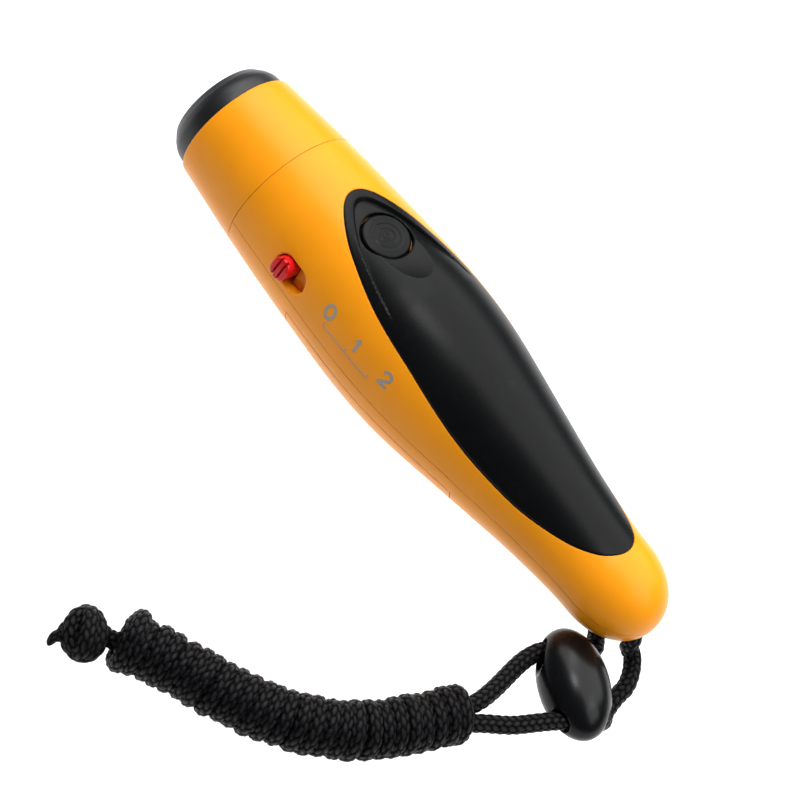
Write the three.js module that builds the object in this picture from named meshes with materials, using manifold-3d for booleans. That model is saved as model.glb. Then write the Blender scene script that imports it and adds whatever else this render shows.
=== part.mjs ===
// Handheld electronic whistle: a hollow plastic body with a sounder in its nose, a grip pad with a
// push button, a three-position tone switch, two cells behind a hinged door, and a wrist lanyard.
//
// Millimetres. The pieces are drawn with the body's axis on the X axis and the sound outlet's rim at
// x = 0. The body runs back to x = -148, so a "station" s below is the distance behind the rim, and
// x = -s. +Y is the side with the tone switch, and +Z is the side with the grip pad.
// The last lines move the whole assembly, so that its origin is on the flat that it lies on.
import * as THREE from "three";
import { mergeVertices } from "three/addons/utils/BufferGeometryUtils.js";
import Module from "manifold-3d";

const wasm = await Module();
wasm.setup();

// ---------------------------------------------------------------- driving dimensions
const BODY_LENGTH = 148;
const CAP_END = 6.4; // station where the black cap meets the collar
const SEAM = 25.8; // station where the collar meets the two shells
const NOSE_START = 133.5; // station where the rounded tail begins
const NOSE_RADIUS = 10.9;
const NOSE_POWER = 2.1; // a little fuller than an ellipse
// [station, outer radius] of the collar and shells, joined by a smooth curve
const BODY_OUTLINE = [
  [7, 14.5],
  [SEAM, 16.5],
  [47.5, 18.1],
  [66, 18.9],
  [80, 18.15],
  [101, 14.85],
  [118, 12.2],
  [NOSE_START, NOSE_RADIUS],
];
const UPPER_WALL = 2.6; // thicker than the lower wall, because the pad is let into it
const LOWER_WALL = 2.2;
const PAD_THICKNESS = 1.4;
const GAP = 0.3; // between neighbouring pieces
const REST_Z = -17.5; // the flat that the whistle lies on
const REST_STATION = 44; // the assembly's origin on that flat
const LOWER_CAVITY_END = 131;
const UPPER_CAVITY_END = 143;

// [station, half width] of the leaf-shaped grip pad, seen from above
const PAD_OUTLINE = [
  [40, 3.1],
  [42.6, 5.4],
  [51.2, 9.6],
  [65.2, 13.1],
  [80, 14.1],
  [93, 13.8],
  [110, 11.7],
  [124.3, 8.4],
  [130.8, 5.3],
];
const PAD_FRONT = 38.8;
const PAD_REAR = 133.8;
const DISH_STATION = 51; // deepest point of the thumb dish
const DISH_RADII = [30, 24, 24];
const DISH_DEPTH = 2;

const BUTTON_RADIUS = 5.5;
const BUTTON_PROUD = 0.6;

const SLOT_STATION = 44.2;
const SLOT_LENGTH = 9.3;
const SLOT_WIDTH = 6;
const SLOT_ANGLE = THREE.MathUtils.degToRad(16); // above the middle plane, on the +Y side
const KNOB_LENGTH = 4.5;
const KNOB_WIDTH = 5.4;
const KNOB_TOP = 19.6; // distance of its top from the body's axis
const KNOB_FINS = 3;
const KNOB_FOOT = 12.9; // distance of its foot from the body's axis
const KNOB_GROOVE = [0.6, 1.1]; // width and depth between two fins
const SHUTTER_RADII = [14.3, 15.2]; // outside of the curved plate under the knob, front and rear
const SHUTTER_THICKNESS = 1;
const SHUTTER_HALF_LENGTH = 7.1;
const SHUTTER_HALF_WIDTH = 3.6;

const DOOR_FRONT = 48;
const DOOR_REAR = 100;
const DOOR_TOP = -4;

const BOARD_Z = 0.6;
const BOARD_THICKNESS = 1.6;
const BOARD_TOP = BOARD_Z + BOARD_THICKNESS;

const CELL_RADIUS = 5.2;
const CELL_LENGTH = 44.5;
const CELL_FRONT = 46.3;
const CELL_Y = 5.5;
const CELL_Z = -6.4;

const EYE_STATION = 142.3; // middle of the lanyard eye in the tail
const EYE_Z = -8.3;
const EYE_RADIUS = 3.9; // of the curved passage's centre line
const EYE_BORE = 2.4;

const CORD_RADIUS = 1.9;
const CORD_Z = -10.65; // height of the strands and the bead
const BEAD_CENTRE = [-146.5, 16.2, CORD_Z];
const BEAD_HALF_LENGTH = 12.5;
const BEAD_RADIUS = 6.85;
const BEAD_HALF_WIDTH = 6.2; // its two hole faces are flat
const BEAD_TURN = THREE.MathUtils.degToRad(152.8); // direction of its long axis, from +X towards +Y
const BEAD_HOLE_PLACE = 8; // of its two holes, from its middle
const BEAD_HOLE_RADIUS = 2.4;
const COIL_RADIUS = 6.2;
const KNOT_RADIUS = 5.2;
const KNOT_PLACE = [-84.6, 97.7];

// ---------------------------------------------------------------- materials
const finish = (color, roughness, metalness = 0) =>
  new THREE.MeshStandardMaterial({ color, roughness, metalness });
const ORANGE = finish(0xf5a51c, 0.25);
const BLACK_PLASTIC = finish(0x17181a, 0.4);
const BLACK_SOFT = finish(0x101113, 0.5);
const RED_PLASTIC = finish(0xd51c2e, 0.35);
const CORD = finish(0x0c0c0e, 0.85);
const FOAM = finish(0x2b2b2e, 0.95);
const BRASS = finish(0xc9a24a, 0.3, 1);
const CERAMIC = finish(0xe6e1d6, 0.5);
const STEEL = finish(0xb5b8bc, 0.3, 1);
const BOARD_GREEN = finish(0x1f6b3a, 0.5);
const CELL_JACKET = finish(0x3f4a5c, 0.35, 0.4);
const WIRE_RED = finish(0xb3202a, 0.5);
const WIRE_BLACK = finish(0x18181a, 0.5);
const COPPER = finish(0xb66a35, 0.35, 1);

// ---------------------------------------------------------------- solids and booleans
// A closed geometry as a manifold solid.
function toSolid(geometry) {
  const bare = geometry.clone();
  bare.deleteAttribute("normal");
  bare.deleteAttribute("uv");
  const merged = mergeVertices(bare, 1e-4);
  const mesh = new wasm.Mesh({
    numProp: 3,
    vertProperties: merged.attributes.position.array,
    triVerts: new Uint32Array(merged.index.array),
  });
  return new wasm.Manifold(mesh);
}

function toGeometry(solid) {
  const mesh = solid.getMesh();
  const geometry = new THREE.BufferGeometry();
  geometry.setAttribute("position", new THREE.BufferAttribute(mesh.vertProperties, 3));
  geometry.setIndex(new THREE.BufferAttribute(mesh.triVerts, 1));
  geometry.computeVertexNormals();
  return geometry;
}

const join = (solids) => solids.reduce((a, b) => a.add(b));

// A lathe profile of [height, radius] corners as a closed geometry about the Y axis. The profile is
// walked so that its faces point outwards.
function lathe(profile, segments) {
  const corners = profile.map(([height, radius]) => new THREE.Vector2(radius, height));
  if (THREE.ShapeUtils.area(corners) < 0) corners.reverse();
  const closed = corners[0].x === 0 ? corners : [...corners, corners[0].clone()];
  return new THREE.LatheGeometry(closed, segments);
}

// Turned about the body's axis: profile corners are [station, radius].
const turned = (profile, segments = 28) => lathe(profile, segments).rotateZ(Math.PI / 2);

// Turned about an upright axis through (x, y): profile corners are [z, radius].
const upright = (profile, x, y, segments = 20) =>
  lathe(profile, segments).rotateX(Math.PI / 2).translate(x, y, 0);

// An upright cylinder between two heights, for screw bosses and round holes.
const column = (s, y, radius, z0, z1, segments = 14) =>
  toSolid(upright([[z0, 0], [z0, radius], [z1, radius], [z1, 0]], -s, y, segments));

// A box between two stations, two y and two z.
function block([front, rear], [y0, y1], [z0, z1]) {
  const box = new THREE.BoxGeometry(rear - front, y1 - y0, z1 - z0);
  return box.translate(-(front + rear) / 2, (y0 + y1) / 2, (z0 + z1) / 2);
}

// A prism with a round-ended outline, long in X, standing on the XY plane.
function slotPrism(halfLength, halfWidth, depth) {
  const straight = halfLength - halfWidth;
  const outline = new THREE.Shape();
  outline.absarc(straight, 0, halfWidth, -Math.PI / 2, Math.PI / 2);
  outline.absarc(-straight, 0, halfWidth, Math.PI / 2, 1.5 * Math.PI);
  return new THREE.ExtrudeGeometry(outline, { depth, bevelEnabled: false, curveSegments: 6 });
}

// A round wire or cord along a smooth curve through points.
function cord(points, radius, steps, sides = 8) {
  const section = new THREE.Shape();
  section.absarc(0, 0, radius, 0, 2 * Math.PI);
  const curve = new THREE.CatmullRomCurve3(points.map((p) => new THREE.Vector3(...p)));
  return new THREE.ExtrudeGeometry(section, {
    curveSegments: sides / 2,
    steps,
    extrudePath: curve,
  });
}

// ---------------------------------------------------------------- the body's outline
// Radius of the collar and shells at a station: a Hermite curve through BODY_OUTLINE, whose slope
// at each corner is that between its two neighbours, then the rounded tail.
function bodyRadius(s) {
  if (s >= NOSE_START) {
    const along = Math.min((s - NOSE_START) / (BODY_LENGTH - NOSE_START), 1);
    return NOSE_RADIUS * (1 - along ** NOSE_POWER) ** (1 / NOSE_POWER);
  }
  const last = BODY_OUTLINE.length - 1;
  const i = Math.max(BODY_OUTLINE.findIndex(([station]) => station > s) - 1, 0);
  const slope = (k) => {
    if (k === last) return 0;
    const [s0, r0] = BODY_OUTLINE[Math.max(k - 1, 0)];
    const [s1, r1] = BODY_OUTLINE[k + 1];
    return (r1 - r0) / (s1 - s0);
  };
  const [s0, r0] = BODY_OUTLINE[i];
  const [s1, r1] = BODY_OUTLINE[i + 1];
  const h = s1 - s0;
  const t = (s - s0) / h;
  return (
    r0 * (1 + 2 * t) * (1 - t) ** 2 +
    slope(i) * h * t * (1 - t) ** 2 +
    r1 * t * t * (3 - 2 * t) +
    slope(i + 1) * h * t * t * (t - 1)
  );
}

// The body's outline as a solid, made smaller by inset, between two stations.
function bodySolid(inset, front, rear) {
  const stations = [front];
  const step = 12;
  for (let s = Math.ceil(front / step + 0.2) * step; s < Math.min(rear, NOSE_START) - 1; s += step) {
    stations.push(s);
  }
  if (rear > NOSE_START) {
    const rings = 5;
    for (let k = 0; k < rings; k += 1) {
      const s = NOSE_START + (BODY_LENGTH - NOSE_START) * Math.sin((k * Math.PI) / 2 / rings);
      if (s < rear - 1) stations.push(s);
    }
  }
  stations.push(rear);
  const profile = stations.map((s) => [s, Math.max(bodyRadius(s) - inset, 0)]);
  const ends = rear < BODY_LENGTH ? [[rear, 0]] : [];
  return toSolid(turned([[front, 0], ...profile, ...ends]));
}

const WIDE = 60; // reaches beyond the body on every side
const above = (z) => toSolid(block([-WIDE, 4 * WIDE], [-WIDE, WIDE], [z, WIDE]));
const below = (z) => toSolid(block([-WIDE, 4 * WIDE], [-WIDE, WIDE], [-WIDE, z]));

// The hollow of the thumb dish, grown by inset.
function dish(inset) {
  const depth = bodyRadius(DISH_STATION) - DISH_DEPTH;
  const ball = new THREE.SphereGeometry(1, 24, 16).rotateX(Math.PI / 2);
  ball.scale(DISH_RADII[0] + inset, DISH_RADII[1] + inset, DISH_RADII[2] + inset);
  return toSolid(ball.translate(-DISH_STATION, 0, depth + DISH_RADII[2]));
}

// ---------------------------------------------------------------- nose: cap, collar, sounder
const COLLAR_STEP = 14.3; // the cap's skirt ends here, and the sounder's seat begins
const SEAT_RADIUS = 12;
const SKIRT_RADIUS = 13.3; // the collar's skirt inside the shells

function frontCap() {
  const skirt = 10.9;
  const faceFront = 1.4;
  const faceRear = 3.2;
  const shell = toSolid(
    turned([
      [faceFront, 0],
      [faceFront, 8.8],
      [0, 9.3],
      [0, 11.1],
      [2.2, 12.3],
      [4.5, 13.6],
      [CAP_END, 13.7],
      [CAP_END, skirt],
      [COLLAR_STEP - GAP, skirt],
      [COLLAR_STEP - GAP, 9.4],
      [faceRear, 9.4],
      [faceRear, 0],
    ]),
  );
  const hole = (y, z, radius) => {
    const drill = new THREE.CylinderGeometry(radius, radius, 6, 8).rotateZ(Math.PI / 2);
    return toSolid(drill.translate(-2.5, y, z));
  };
  const holes = [hole(0, 0, 1.5)];
  const count = 8;
  for (let i = 0; i < count; i += 1) {
    const angle = (i * 2 * Math.PI) / count;
    holes.push(hole(5.4 * Math.cos(angle), 5.4 * Math.sin(angle), 1.25));
  }
  return toGeometry(shell.subtract(join(holes)));
}

function frontCollar() {
  const front = CAP_END + GAP;
  const bore = 11.2;
  const skirtEnd = 30.5;
  return turned([
    [front, bore],
    [front, 14.1],
    [7.3, bodyRadius(7.3)],
    [16, bodyRadius(16)],
    [SEAM - GAP / 2, bodyRadius(SEAM)],
    [SEAM - GAP / 2, SKIRT_RADIUS],
    [skirtEnd, SKIRT_RADIUS],
    [skirtEnd, SEAT_RADIUS],
    [COLLAR_STEP, SEAT_RADIUS],
    [COLLAR_STEP, bore],
  ]);
}

const sounderSeal = () => turned([[14.6, 7.5], [14.6, 11.6], [15.6, 11.6], [15.6, 7.5]], 24);

// A cup with the sound hole in its front wall and the disc's ledge inside.
const sounderHousing = () =>
  turned(
    [
      [15.9, 3],
      [15.9, 11.7],
      [29, 11.7],
      [29, 10.6],
      [21.9, 10.6],
      [21.9, 8.6],
      [17.4, 8.6],
      [17.4, 3],
    ],
    24,
  );

const piezoDisc = () => turned([[22.2, 0], [22.2, 10.2], [22.7, 10.2], [22.7, 0]], 24);
const piezoCeramic = () => turned([[22.8, 0], [22.8, 7], [23.2, 7], [23.2, 0]], 20);
const retainingRing = () => turned([[23, 8.2], [23, 10.3], [25.4, 10.3], [25.4, 8.2]], 24);

// ---------------------------------------------------------------- shells, door and pad
// The pad's outline as an upright prism, grown by margin.
function padPrism(margin) {
  const side = PAD_OUTLINE.map(([s, y]) => new THREE.Vector2(-s, y + margin));
  const front = new THREE.Vector2(-PAD_FRONT + margin, 0);
  const rear = new THREE.Vector2(-PAD_REAR - margin, 0);
  const mirrored = side.map((p) => new THREE.Vector2(p.x, -p.y)).reverse();
  const ring = new THREE.SplineCurve([front, ...side, rear, ...mirrored, front]);
  const corners = ring.getPoints(36).slice(0, -1);
  const prism = new THREE.ExtrudeGeometry(new THREE.Shape(corners), {
    depth: 24,
    bevelEnabled: false,
  });
  return toSolid(prism);
}

const buttonHole = () => column(DISH_STATION, 0, BUTTON_RADIUS + GAP, 8, 30, 20);

function gripPad() {
  const floor = bodySolid(PAD_THICKNESS, PAD_FRONT - 5, PAD_REAR + 3).subtract(dish(PAD_THICKNESS));
  const skin = bodySolid(0, PAD_FRONT - 5, PAD_REAR + 3).subtract(dish(0));
  return toGeometry(padPrism(0).intersect(skin).subtract(floor).subtract(buttonHole()));
}

// A slot with rounded ends through the +Y wall, for the tone knob.
function toneSlot() {
  const depth = 12;
  const prism = slotPrism(SLOT_LENGTH / 2, SLOT_WIDTH / 2, depth);
  prism.translate(-SLOT_STATION, 0, depth).rotateX(SLOT_ANGLE - Math.PI / 2);
  return toSolid(prism);
}

// [station, y] of the case screws
const CASE_SCREWS = [
  [34.4, 7.5],
  [34.4, -7.5],
  [107, 0],
  [123, 0],
];
const SCREW_RADIUS = 1.3;
const SCREW_HEAD_RADIUS = 2.3;
const SCREW_HEAD_DEPTH = 3.6; // from the outside of the lower shell up to the head's seat
const BOSS_RADIUS = 3;

const wallAt = (s, y) => -Math.sqrt(bodyRadius(s) ** 2 - y ** 2);

function upperShell() {
  const split = above(GAP / 2);
  const outside = bodySolid(0, SEAM + GAP / 2, BODY_LENGTH);
  const inside = bodySolid(UPPER_WALL, SEAM - 2, UPPER_CAVITY_END).subtract(dish(UPPER_WALL));
  const bosses = join(CASE_SCREWS.map(([s, y]) => column(s, y, BOSS_RADIUS, GAP / 2, 18)));
  const pilots = join(CASE_SCREWS.map(([s, y]) => column(s, y, SCREW_RADIUS + 0.1, -1, 6.5, 10)));
  const padFloor = bodySolid(PAD_THICKNESS + GAP, SEAM, BODY_LENGTH - 6);
  const recess = padPrism(GAP).subtract(padFloor.subtract(dish(PAD_THICKNESS + GAP)));
  return toGeometry(
    outside
      .subtract(inside)
      .add(bosses.intersect(outside))
      .subtract(pilots)
      .subtract(recess)
      .subtract(buttonHole())
      .subtract(toneSlot())
      .intersect(split),
  );
}

// The door's opening, grown by margin.
const doorBlock = (margin) =>
  toSolid(
    block(
      [DOOR_FRONT - margin, DOOR_REAR + margin],
      [-WIDE, WIDE],
      [-WIDE, DOOR_TOP + margin],
    ),
  );

function lowerTube() {
  const outside = bodySolid(0, SEAM + GAP / 2, BODY_LENGTH).intersect(above(REST_Z));
  const floorInset = above(REST_Z + LOWER_WALL);
  const inside = bodySolid(LOWER_WALL, SEAM - 2, LOWER_CAVITY_END).intersect(floorInset);
  return { outside, inside };
}

function lowerShell() {
  const { outside, inside } = lowerTube();
  const bosses = join(CASE_SCREWS.map(([s, y]) => column(s, y, BOSS_RADIUS, -20, 0)));
  const holes = join(
    CASE_SCREWS.map(([s, y]) => {
      const seat = wallAt(s, y) + SCREW_HEAD_DEPTH;
      const shank = column(s, y, SCREW_RADIUS + GAP, -22, 1, 10);
      return column(s, y, SCREW_HEAD_RADIUS + GAP, -22, seat).add(shank);
    }),
  );
  const ring = new THREE.TorusGeometry(EYE_RADIUS, EYE_BORE, 14, 28).rotateX(Math.PI / 2);
  const passage = toSolid(ring.translate(-EYE_STATION, 0, EYE_Z));
  return toGeometry(
    outside
      .subtract(inside)
      .add(bosses.intersect(outside))
      .subtract(holes)
      .subtract(passage)
      .subtract(doorBlock(GAP / 2))
      .intersect(below(-GAP / 2)),
  );
}

function batteryDoor() {
  const { outside, inside } = lowerTube();
  const tabs = [-1, 1].map((side) => {
    const y = side > 0 ? [2, 5] : [-5, -2];
    const foot = toSolid(block([97, 99.6], y, [-13.4, -10.2]));
    const arm = toSolid(block([98, 102.5], y, [-11.2, -10.2]));
    return foot.add(arm);
  });
  return toGeometry(outside.subtract(inside).intersect(doorBlock(-GAP / 2)).add(join(tabs)));
}

// ---------------------------------------------------------------- button and tone switch
const DISH_FLOOR = bodyRadius(DISH_STATION) - DISH_DEPTH;
const PLUNGER_TOP = 6.9;

function thumbButton() {
  const top = DISH_FLOOR + BUTTON_PROUD;
  const flange = 7.2;
  return upright(
    [
      [PLUNGER_TOP + GAP, 0],
      [PLUNGER_TOP + GAP, 2.5],
      [12, 2.5],
      [12, flange],
      [13, flange],
      [13, BUTTON_RADIUS],
      [top - 0.7, BUTTON_RADIUS],
      [top - 0.2, BUTTON_RADIUS - 0.7],
      [top, 0],
    ],
    -DISH_STATION,
    0,
    24,
  );
}

function tactSwitchBody() {
  const base = block([DISH_STATION - 3, DISH_STATION + 3], [-3, 3], [BOARD_TOP + 0.1, 5.4]);
  return toGeometry(toSolid(base).subtract(column(DISH_STATION, 0, 2, 3.2, 8, 14)));
}

const tactPlunger = () =>
  upright([[4.3, 0], [4.3, 1.7], [PLUNGER_TOP, 1.7], [PLUNGER_TOP, 0]], -DISH_STATION, 0, 14);

const KNOB_STATION = SLOT_STATION - (SLOT_LENGTH - KNOB_LENGTH) / 2 + 0.5;
const SLOT_TURN = new THREE.Matrix4().makeRotationX(SLOT_ANGLE - Math.PI / 2).toArray();

// The knob's upright stem: a rounded rectangle, so that it clears the slot's rounded end.
function knobStem(foot, margin) {
  const corner = 2.2;
  const x = KNOB_LENGTH / 2 - corner;
  const y = KNOB_WIDTH / 2 - corner;
  const radius = corner + margin;
  const outline = new THREE.Shape();
  outline.absarc(x, y, radius, 0, Math.PI / 2);
  outline.absarc(-x, y, radius, Math.PI / 2, Math.PI);
  outline.absarc(-x, -y, radius, Math.PI, 1.5 * Math.PI);
  outline.absarc(x, -y, radius, 1.5 * Math.PI, 2 * Math.PI);
  const stem = new THREE.ExtrudeGeometry(outline, {
    depth: KNOB_TOP - foot,
    bevelEnabled: false,
    curveSegments: 3,
  });
  return toSolid(stem.translate(-KNOB_STATION, 0, foot));
}

// The red knob stands in the slot. Grooves across its top make the fins.
function toneKnob() {
  const [width, depth] = KNOB_GROOVE;
  let knob = knobStem(KNOB_FOOT, 0);
  for (let i = 1; i < KNOB_FINS; i += 1) {
    const front = KNOB_STATION - KNOB_LENGTH / 2 + (i * KNOB_LENGTH) / KNOB_FINS - width / 2;
    knob = knob.subtract(
      toSolid(block([front, front + width], [-WIDE, WIDE], [KNOB_TOP - depth, WIDE])),
    );
  }
  return toGeometry(knob.transform(SLOT_TURN));
}

// The curved orange plate that moves with the knob and always covers the slot from inside.
function toneShutter() {
  const front = KNOB_STATION - SHUTTER_HALF_LENGTH;
  const rear = KNOB_STATION + SHUTTER_HALF_LENGTH;
  const [frontRadius, rearRadius] = SHUTTER_RADII;
  const profile = [
    [front, frontRadius - SHUTTER_THICKNESS],
    [front, frontRadius],
    [rear, rearRadius],
    [rear, rearRadius - SHUTTER_THICKNESS],
  ];
  const edges = block([front - 1, rear + 1], [-SHUTTER_HALF_WIDTH, SHUTTER_HALF_WIDTH], [8, 20]);
  const plate = toSolid(turned(profile)).intersect(toSolid(edges));
  return toGeometry(plate.subtract(knobStem(10, 0.1)).transform(SLOT_TURN));
}

const SWITCH_FRONT = KNOB_STATION - 2;

function slideSwitchBody() {
  const frame = toSolid(
    block([SWITCH_FRONT, SWITCH_FRONT + 8.6], [5.6, 10.6], [BOARD_TOP + 0.1, 7.2]),
  );
  const window = toSolid(block([SWITCH_FRONT + 0.8, SWITCH_FRONT + 7.8], [8, 12], [3.6, 6]));
  return toGeometry(frame.subtract(window));
}

const slideSwitchActuator = () =>
  block([KNOB_STATION - 0.9, KNOB_STATION + 0.9], [8.4, 11.5], [3.9, 5.7]);

// ---------------------------------------------------------------- board and its parts
function circuitBoard() {
  const board = toSolid(block([38, 95.2], [-11.4, 11.4], [BOARD_Z, BOARD_TOP]));
  return toGeometry(board.subtract(join(BOARD_SCREWS.map((s) => column(s, 0, 1.3, -1, 4, 10)))));
}

const BOARD_SCREWS = [43.9, 93];

const boardScrew = (s) =>
  upright(
    [
      [-1.6, 0],
      [-1.6, 1],
      [BOARD_TOP + 0.1, 1],
      [BOARD_TOP + 0.1, 1.9],
      [BOARD_TOP + 1.2, 1.9],
      [BOARD_TOP + 1.2, 0],
    ],
    -s,
    0,
    12,
  );

function caseScrew(s, y) {
  const seat = wallAt(s, y) + SCREW_HEAD_DEPTH - GAP;
  return upright(
    [
      [seat - 1.5, 0],
      [seat - 1.5, SCREW_HEAD_RADIUS],
      [seat, SCREW_HEAD_RADIUS],
      [seat, SCREW_RADIUS - 0.1],
      [6, SCREW_RADIUS - 0.1],
      [6, 0],
    ],
    -s,
    y,
    12,
  );
}

const chip = () => block([63.5, 68.5], [-5, -1], [BOARD_TOP + 0.1, 3.8]);

function transistor() {
  const can = column(76, 5, 2.3, BOARD_TOP + 0.1, 7, 14);
  return toGeometry(can.subtract(toSolid(block([70, 82], [6.4, 10], [0, 9]))));
}

const inductor = () =>
  upright(
    [
      [BOARD_TOP + 0.1, 0],
      [BOARD_TOP + 0.1, 3.2],
      [3.1, 3.2],
      [3.1, 2.3],
      [6.9, 2.3],
      [6.9, 3.2],
      [7.7, 3.2],
      [7.7, 0],
    ],
    -81,
    -5,
    18,
  );

const capacitor = () =>
  upright([[BOARD_TOP + 0.1, 0], [BOARD_TOP + 0.1, 2.5], [9.2, 2.5], [9.2, 0]], -62, 6.5, 18);

// ---------------------------------------------------------------- cells, tray and contacts
const CELL_REAR = CELL_FRONT + CELL_LENGTH;
const BATTERY_WIRE_Y = 3.2; // where the wires pass the tray's front wall

function cell(y, nubForward) {
  const nub = 1.9;
  const step = 0.9;
  const nubFront = [
    [CELL_FRONT, nub],
    [CELL_FRONT + step, nub],
    [CELL_FRONT + step, CELL_RADIUS],
    [CELL_REAR, CELL_RADIUS],
  ];
  const nubRear = nubFront.map(([s, r]) => [CELL_FRONT + CELL_REAR - s, r]).reverse();
  const body = nubForward ? nubFront : nubRear;
  return turned([[CELL_FRONT, 0], ...body, [CELL_REAR, 0]], 24).translate(0, y, CELL_Z);
}

// A plate between the cells and the board, with an end wall at each end for the contacts.
function batteryTray() {
  const plate = toSolid(block([39, 96.4], [-11.2, 11.2], [-0.8, 0.2]));
  const front = toSolid(block([41.6, 42.6], [-10.6, 10.6], [-10.6, -0.4]));
  const rear = toSolid(block([95.2, 96.4], [-9, 9], [-9.2, -0.4]));
  const pads = join(BOARD_SCREWS.map((s) => column(s, 0, 1.9, -2.2, 0, 12)));
  const pilots = join(BOARD_SCREWS.map((s) => column(s, 0, 1.15, -3, 1, 10)));
  const wireNotch = (y) => toSolid(block([41, 43], [y - 1, y + 1], [-2.9, -0.8]));
  const slottedFront = front.subtract(wireNotch(BATTERY_WIRE_Y)).subtract(wireNotch(-BATTERY_WIRE_Y));
  return toGeometry(plate.add(slottedFront).add(rear).add(pads).subtract(pilots));
}

const contactPlate = (front, y0, y1) => block([front, front + 0.4], [y0, y1], [-10.2, -2.6]);

// A conical coil that presses on a cell's flat end. It narrows from its plate towards the cell.
function contactSpring(y, plateStation, cellStation) {
  const turns = 3;
  const perTurn = 8;
  const wire = 0.3;
  const points = [];
  for (let i = 0; i <= turns * perTurn; i += 1) {
    const t = i / (turns * perTurn);
    const angle = (i * 2 * Math.PI) / perTurn;
    const radius = 3 - 1.2 * t;
    const s = plateStation + (cellStation - plateStation) * t;
    points.push([-s, y + radius * Math.cos(angle), CELL_Z + radius * Math.sin(angle)]);
  }
  return cord(points, wire, turns * perTurn, 5);
}

// ---------------------------------------------------------------- wires
const WIRE_RADIUS = 0.5;
const WIRE_LANDING = BOARD_TOP + WIRE_RADIUS + 0.2;

// From the sounder's disc back to the front edge of the board.
const sounderWire = (side) =>
  cord(
    [
      [-23.9, 3 * side, 3],
      [-27, 4 * side, 6],
      [-33, 1.6 * side, 7],
      [-37.6, 1.1 * side, 4],
      [-39.6, 1.1 * side, WIRE_LANDING],
    ],
    WIRE_RADIUS,
    10,
    6,
  );

// From a contact, under the tray's plate and round the front edge of the board onto its top.
const batteryWire = (side) =>
  cord(
    [
      [side > 0 ? -45.2 : -43.1, BATTERY_WIRE_Y * side, -1.9],
      [-41.4, BATTERY_WIRE_Y * side, -1.9],
      [-38.6, 3 * side, -1.7],
      [-36.9, 3 * side, 0.4],
      [-37.4, 3 * side, 2.8],
      [-39.6, 3 * side, WIRE_LANDING],
    ],
    WIRE_RADIUS,
    12,
    6,
  );

// ---------------------------------------------------------------- lanyard
// A point of the bead's frame: along its long axis, and towards the coil.
function beadPoint(along, toCoil, z = CORD_Z) {
  const [x, y] = BEAD_CENTRE;
  const c = Math.cos(BEAD_TURN);
  const s = Math.sin(BEAD_TURN);
  return [x + along * c + toCoil * s, y + along * s - toCoil * c, z];
}

// The cord's turn through the eye: up one mouth, over the bar and down out of the other.
const BIGHT_END_Z = EYE_Z - 1;

function cordBight() {
  const points = [[-EYE_STATION + EYE_RADIUS, 0, BIGHT_END_Z]];
  const arcs = 6;
  for (let i = 0; i <= arcs; i += 1) {
    const angle = (i * Math.PI) / arcs;
    const x = -EYE_STATION + EYE_RADIUS * Math.cos(angle);
    points.push([x, 0, EYE_Z + EYE_RADIUS * Math.sin(angle)]);
  }
  points.push([-EYE_STATION - EYE_RADIUS, 0, BIGHT_END_Z]);
  return cord(points, CORD_RADIUS, 14);
}

// The strand from the front mouth of the eye, through the bead, to the coil.
const strandFront = () =>
  cord(
    [
      [-EYE_STATION + EYE_RADIUS, 0, BIGHT_END_Z - GAP],
      [-EYE_STATION + EYE_RADIUS, 0, BIGHT_END_Z - 2.2],
      [-EYE_STATION + EYE_RADIUS - 1, 1.6, BIGHT_END_Z - 3.8],
      [-EYE_STATION + 0.6, 4.6, CORD_Z - 1.7],
      beadPoint(-8, -6.4, CORD_Z - 0.1),
      beadPoint(-8, -1),
      beadPoint(-7.9, 6),
      beadPoint(-7.4, 9.8),
      beadPoint(-4.2, 14.2),
      beadPoint(-0.6, 18.5),
      beadPoint(2.7, 22.9),
    ],
    CORD_RADIUS,
    24,
  );

// The strand from the rear mouth of the eye, which bows out on its way to the coil.
const strandRear = () =>
  cord(
    [
      [-EYE_STATION - EYE_RADIUS, 0, BIGHT_END_Z - GAP],
      [-EYE_STATION - EYE_RADIUS, 0, BIGHT_END_Z - 1.3],
      [-EYE_STATION - 5, 1.5, BIGHT_END_Z - 2.7],
      [-EYE_STATION - 7.6, 4.2, CORD_Z - 0.8],
      beadPoint(7.6, -6.8),
      beadPoint(8, -1),
      beadPoint(8, 6),
      beadPoint(8.1, 10),
      beadPoint(8.3, 16),
      beadPoint(7.5, 22.4),
    ],
    CORD_RADIUS,
    24,
  );

function cordBead() {
  const ball = new THREE.SphereGeometry(1, 20, 12).rotateZ(Math.PI / 2);
  ball.scale(BEAD_HALF_LENGTH, BEAD_RADIUS, BEAD_RADIUS);
  const faces = new THREE.BoxGeometry(40, 2 * BEAD_HALF_WIDTH, 40);
  const holes = [-BEAD_HOLE_PLACE, BEAD_HOLE_PLACE].map((x) => {
    const hole = new THREE.CylinderGeometry(BEAD_HOLE_RADIUS, BEAD_HOLE_RADIUS, 30, 14);
    return toSolid(hole.translate(x, 0, 0));
  });
  const bead = toSolid(ball).intersect(toSolid(faces)).subtract(join(holes));
  const place = new THREE.Matrix4().makeRotationZ(BEAD_TURN).setPosition(...BEAD_CENTRE);
  return toGeometry(bead.transform(place.toArray()));
}

// Centre line of the wound bundle, lying on the same plane as the whistle's flat.
const COIL_PATH = [
  [-139.5, 39.4],
  [-138.4, 42.6],
  [-134.3, 54.6],
  [-129, 65.2],
  [-119.8, 75],
  [-108.8, 81.9],
  [-99, 86.6],
  [-92.6, 90.6],
  [-88.9, 94],
];

const cordCoil = () =>
  cord(
    COIL_PATH.map(([x, y]) => [x, y, REST_Z + COIL_RADIUS]),
    COIL_RADIUS,
    18,
    12,
  );

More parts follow.
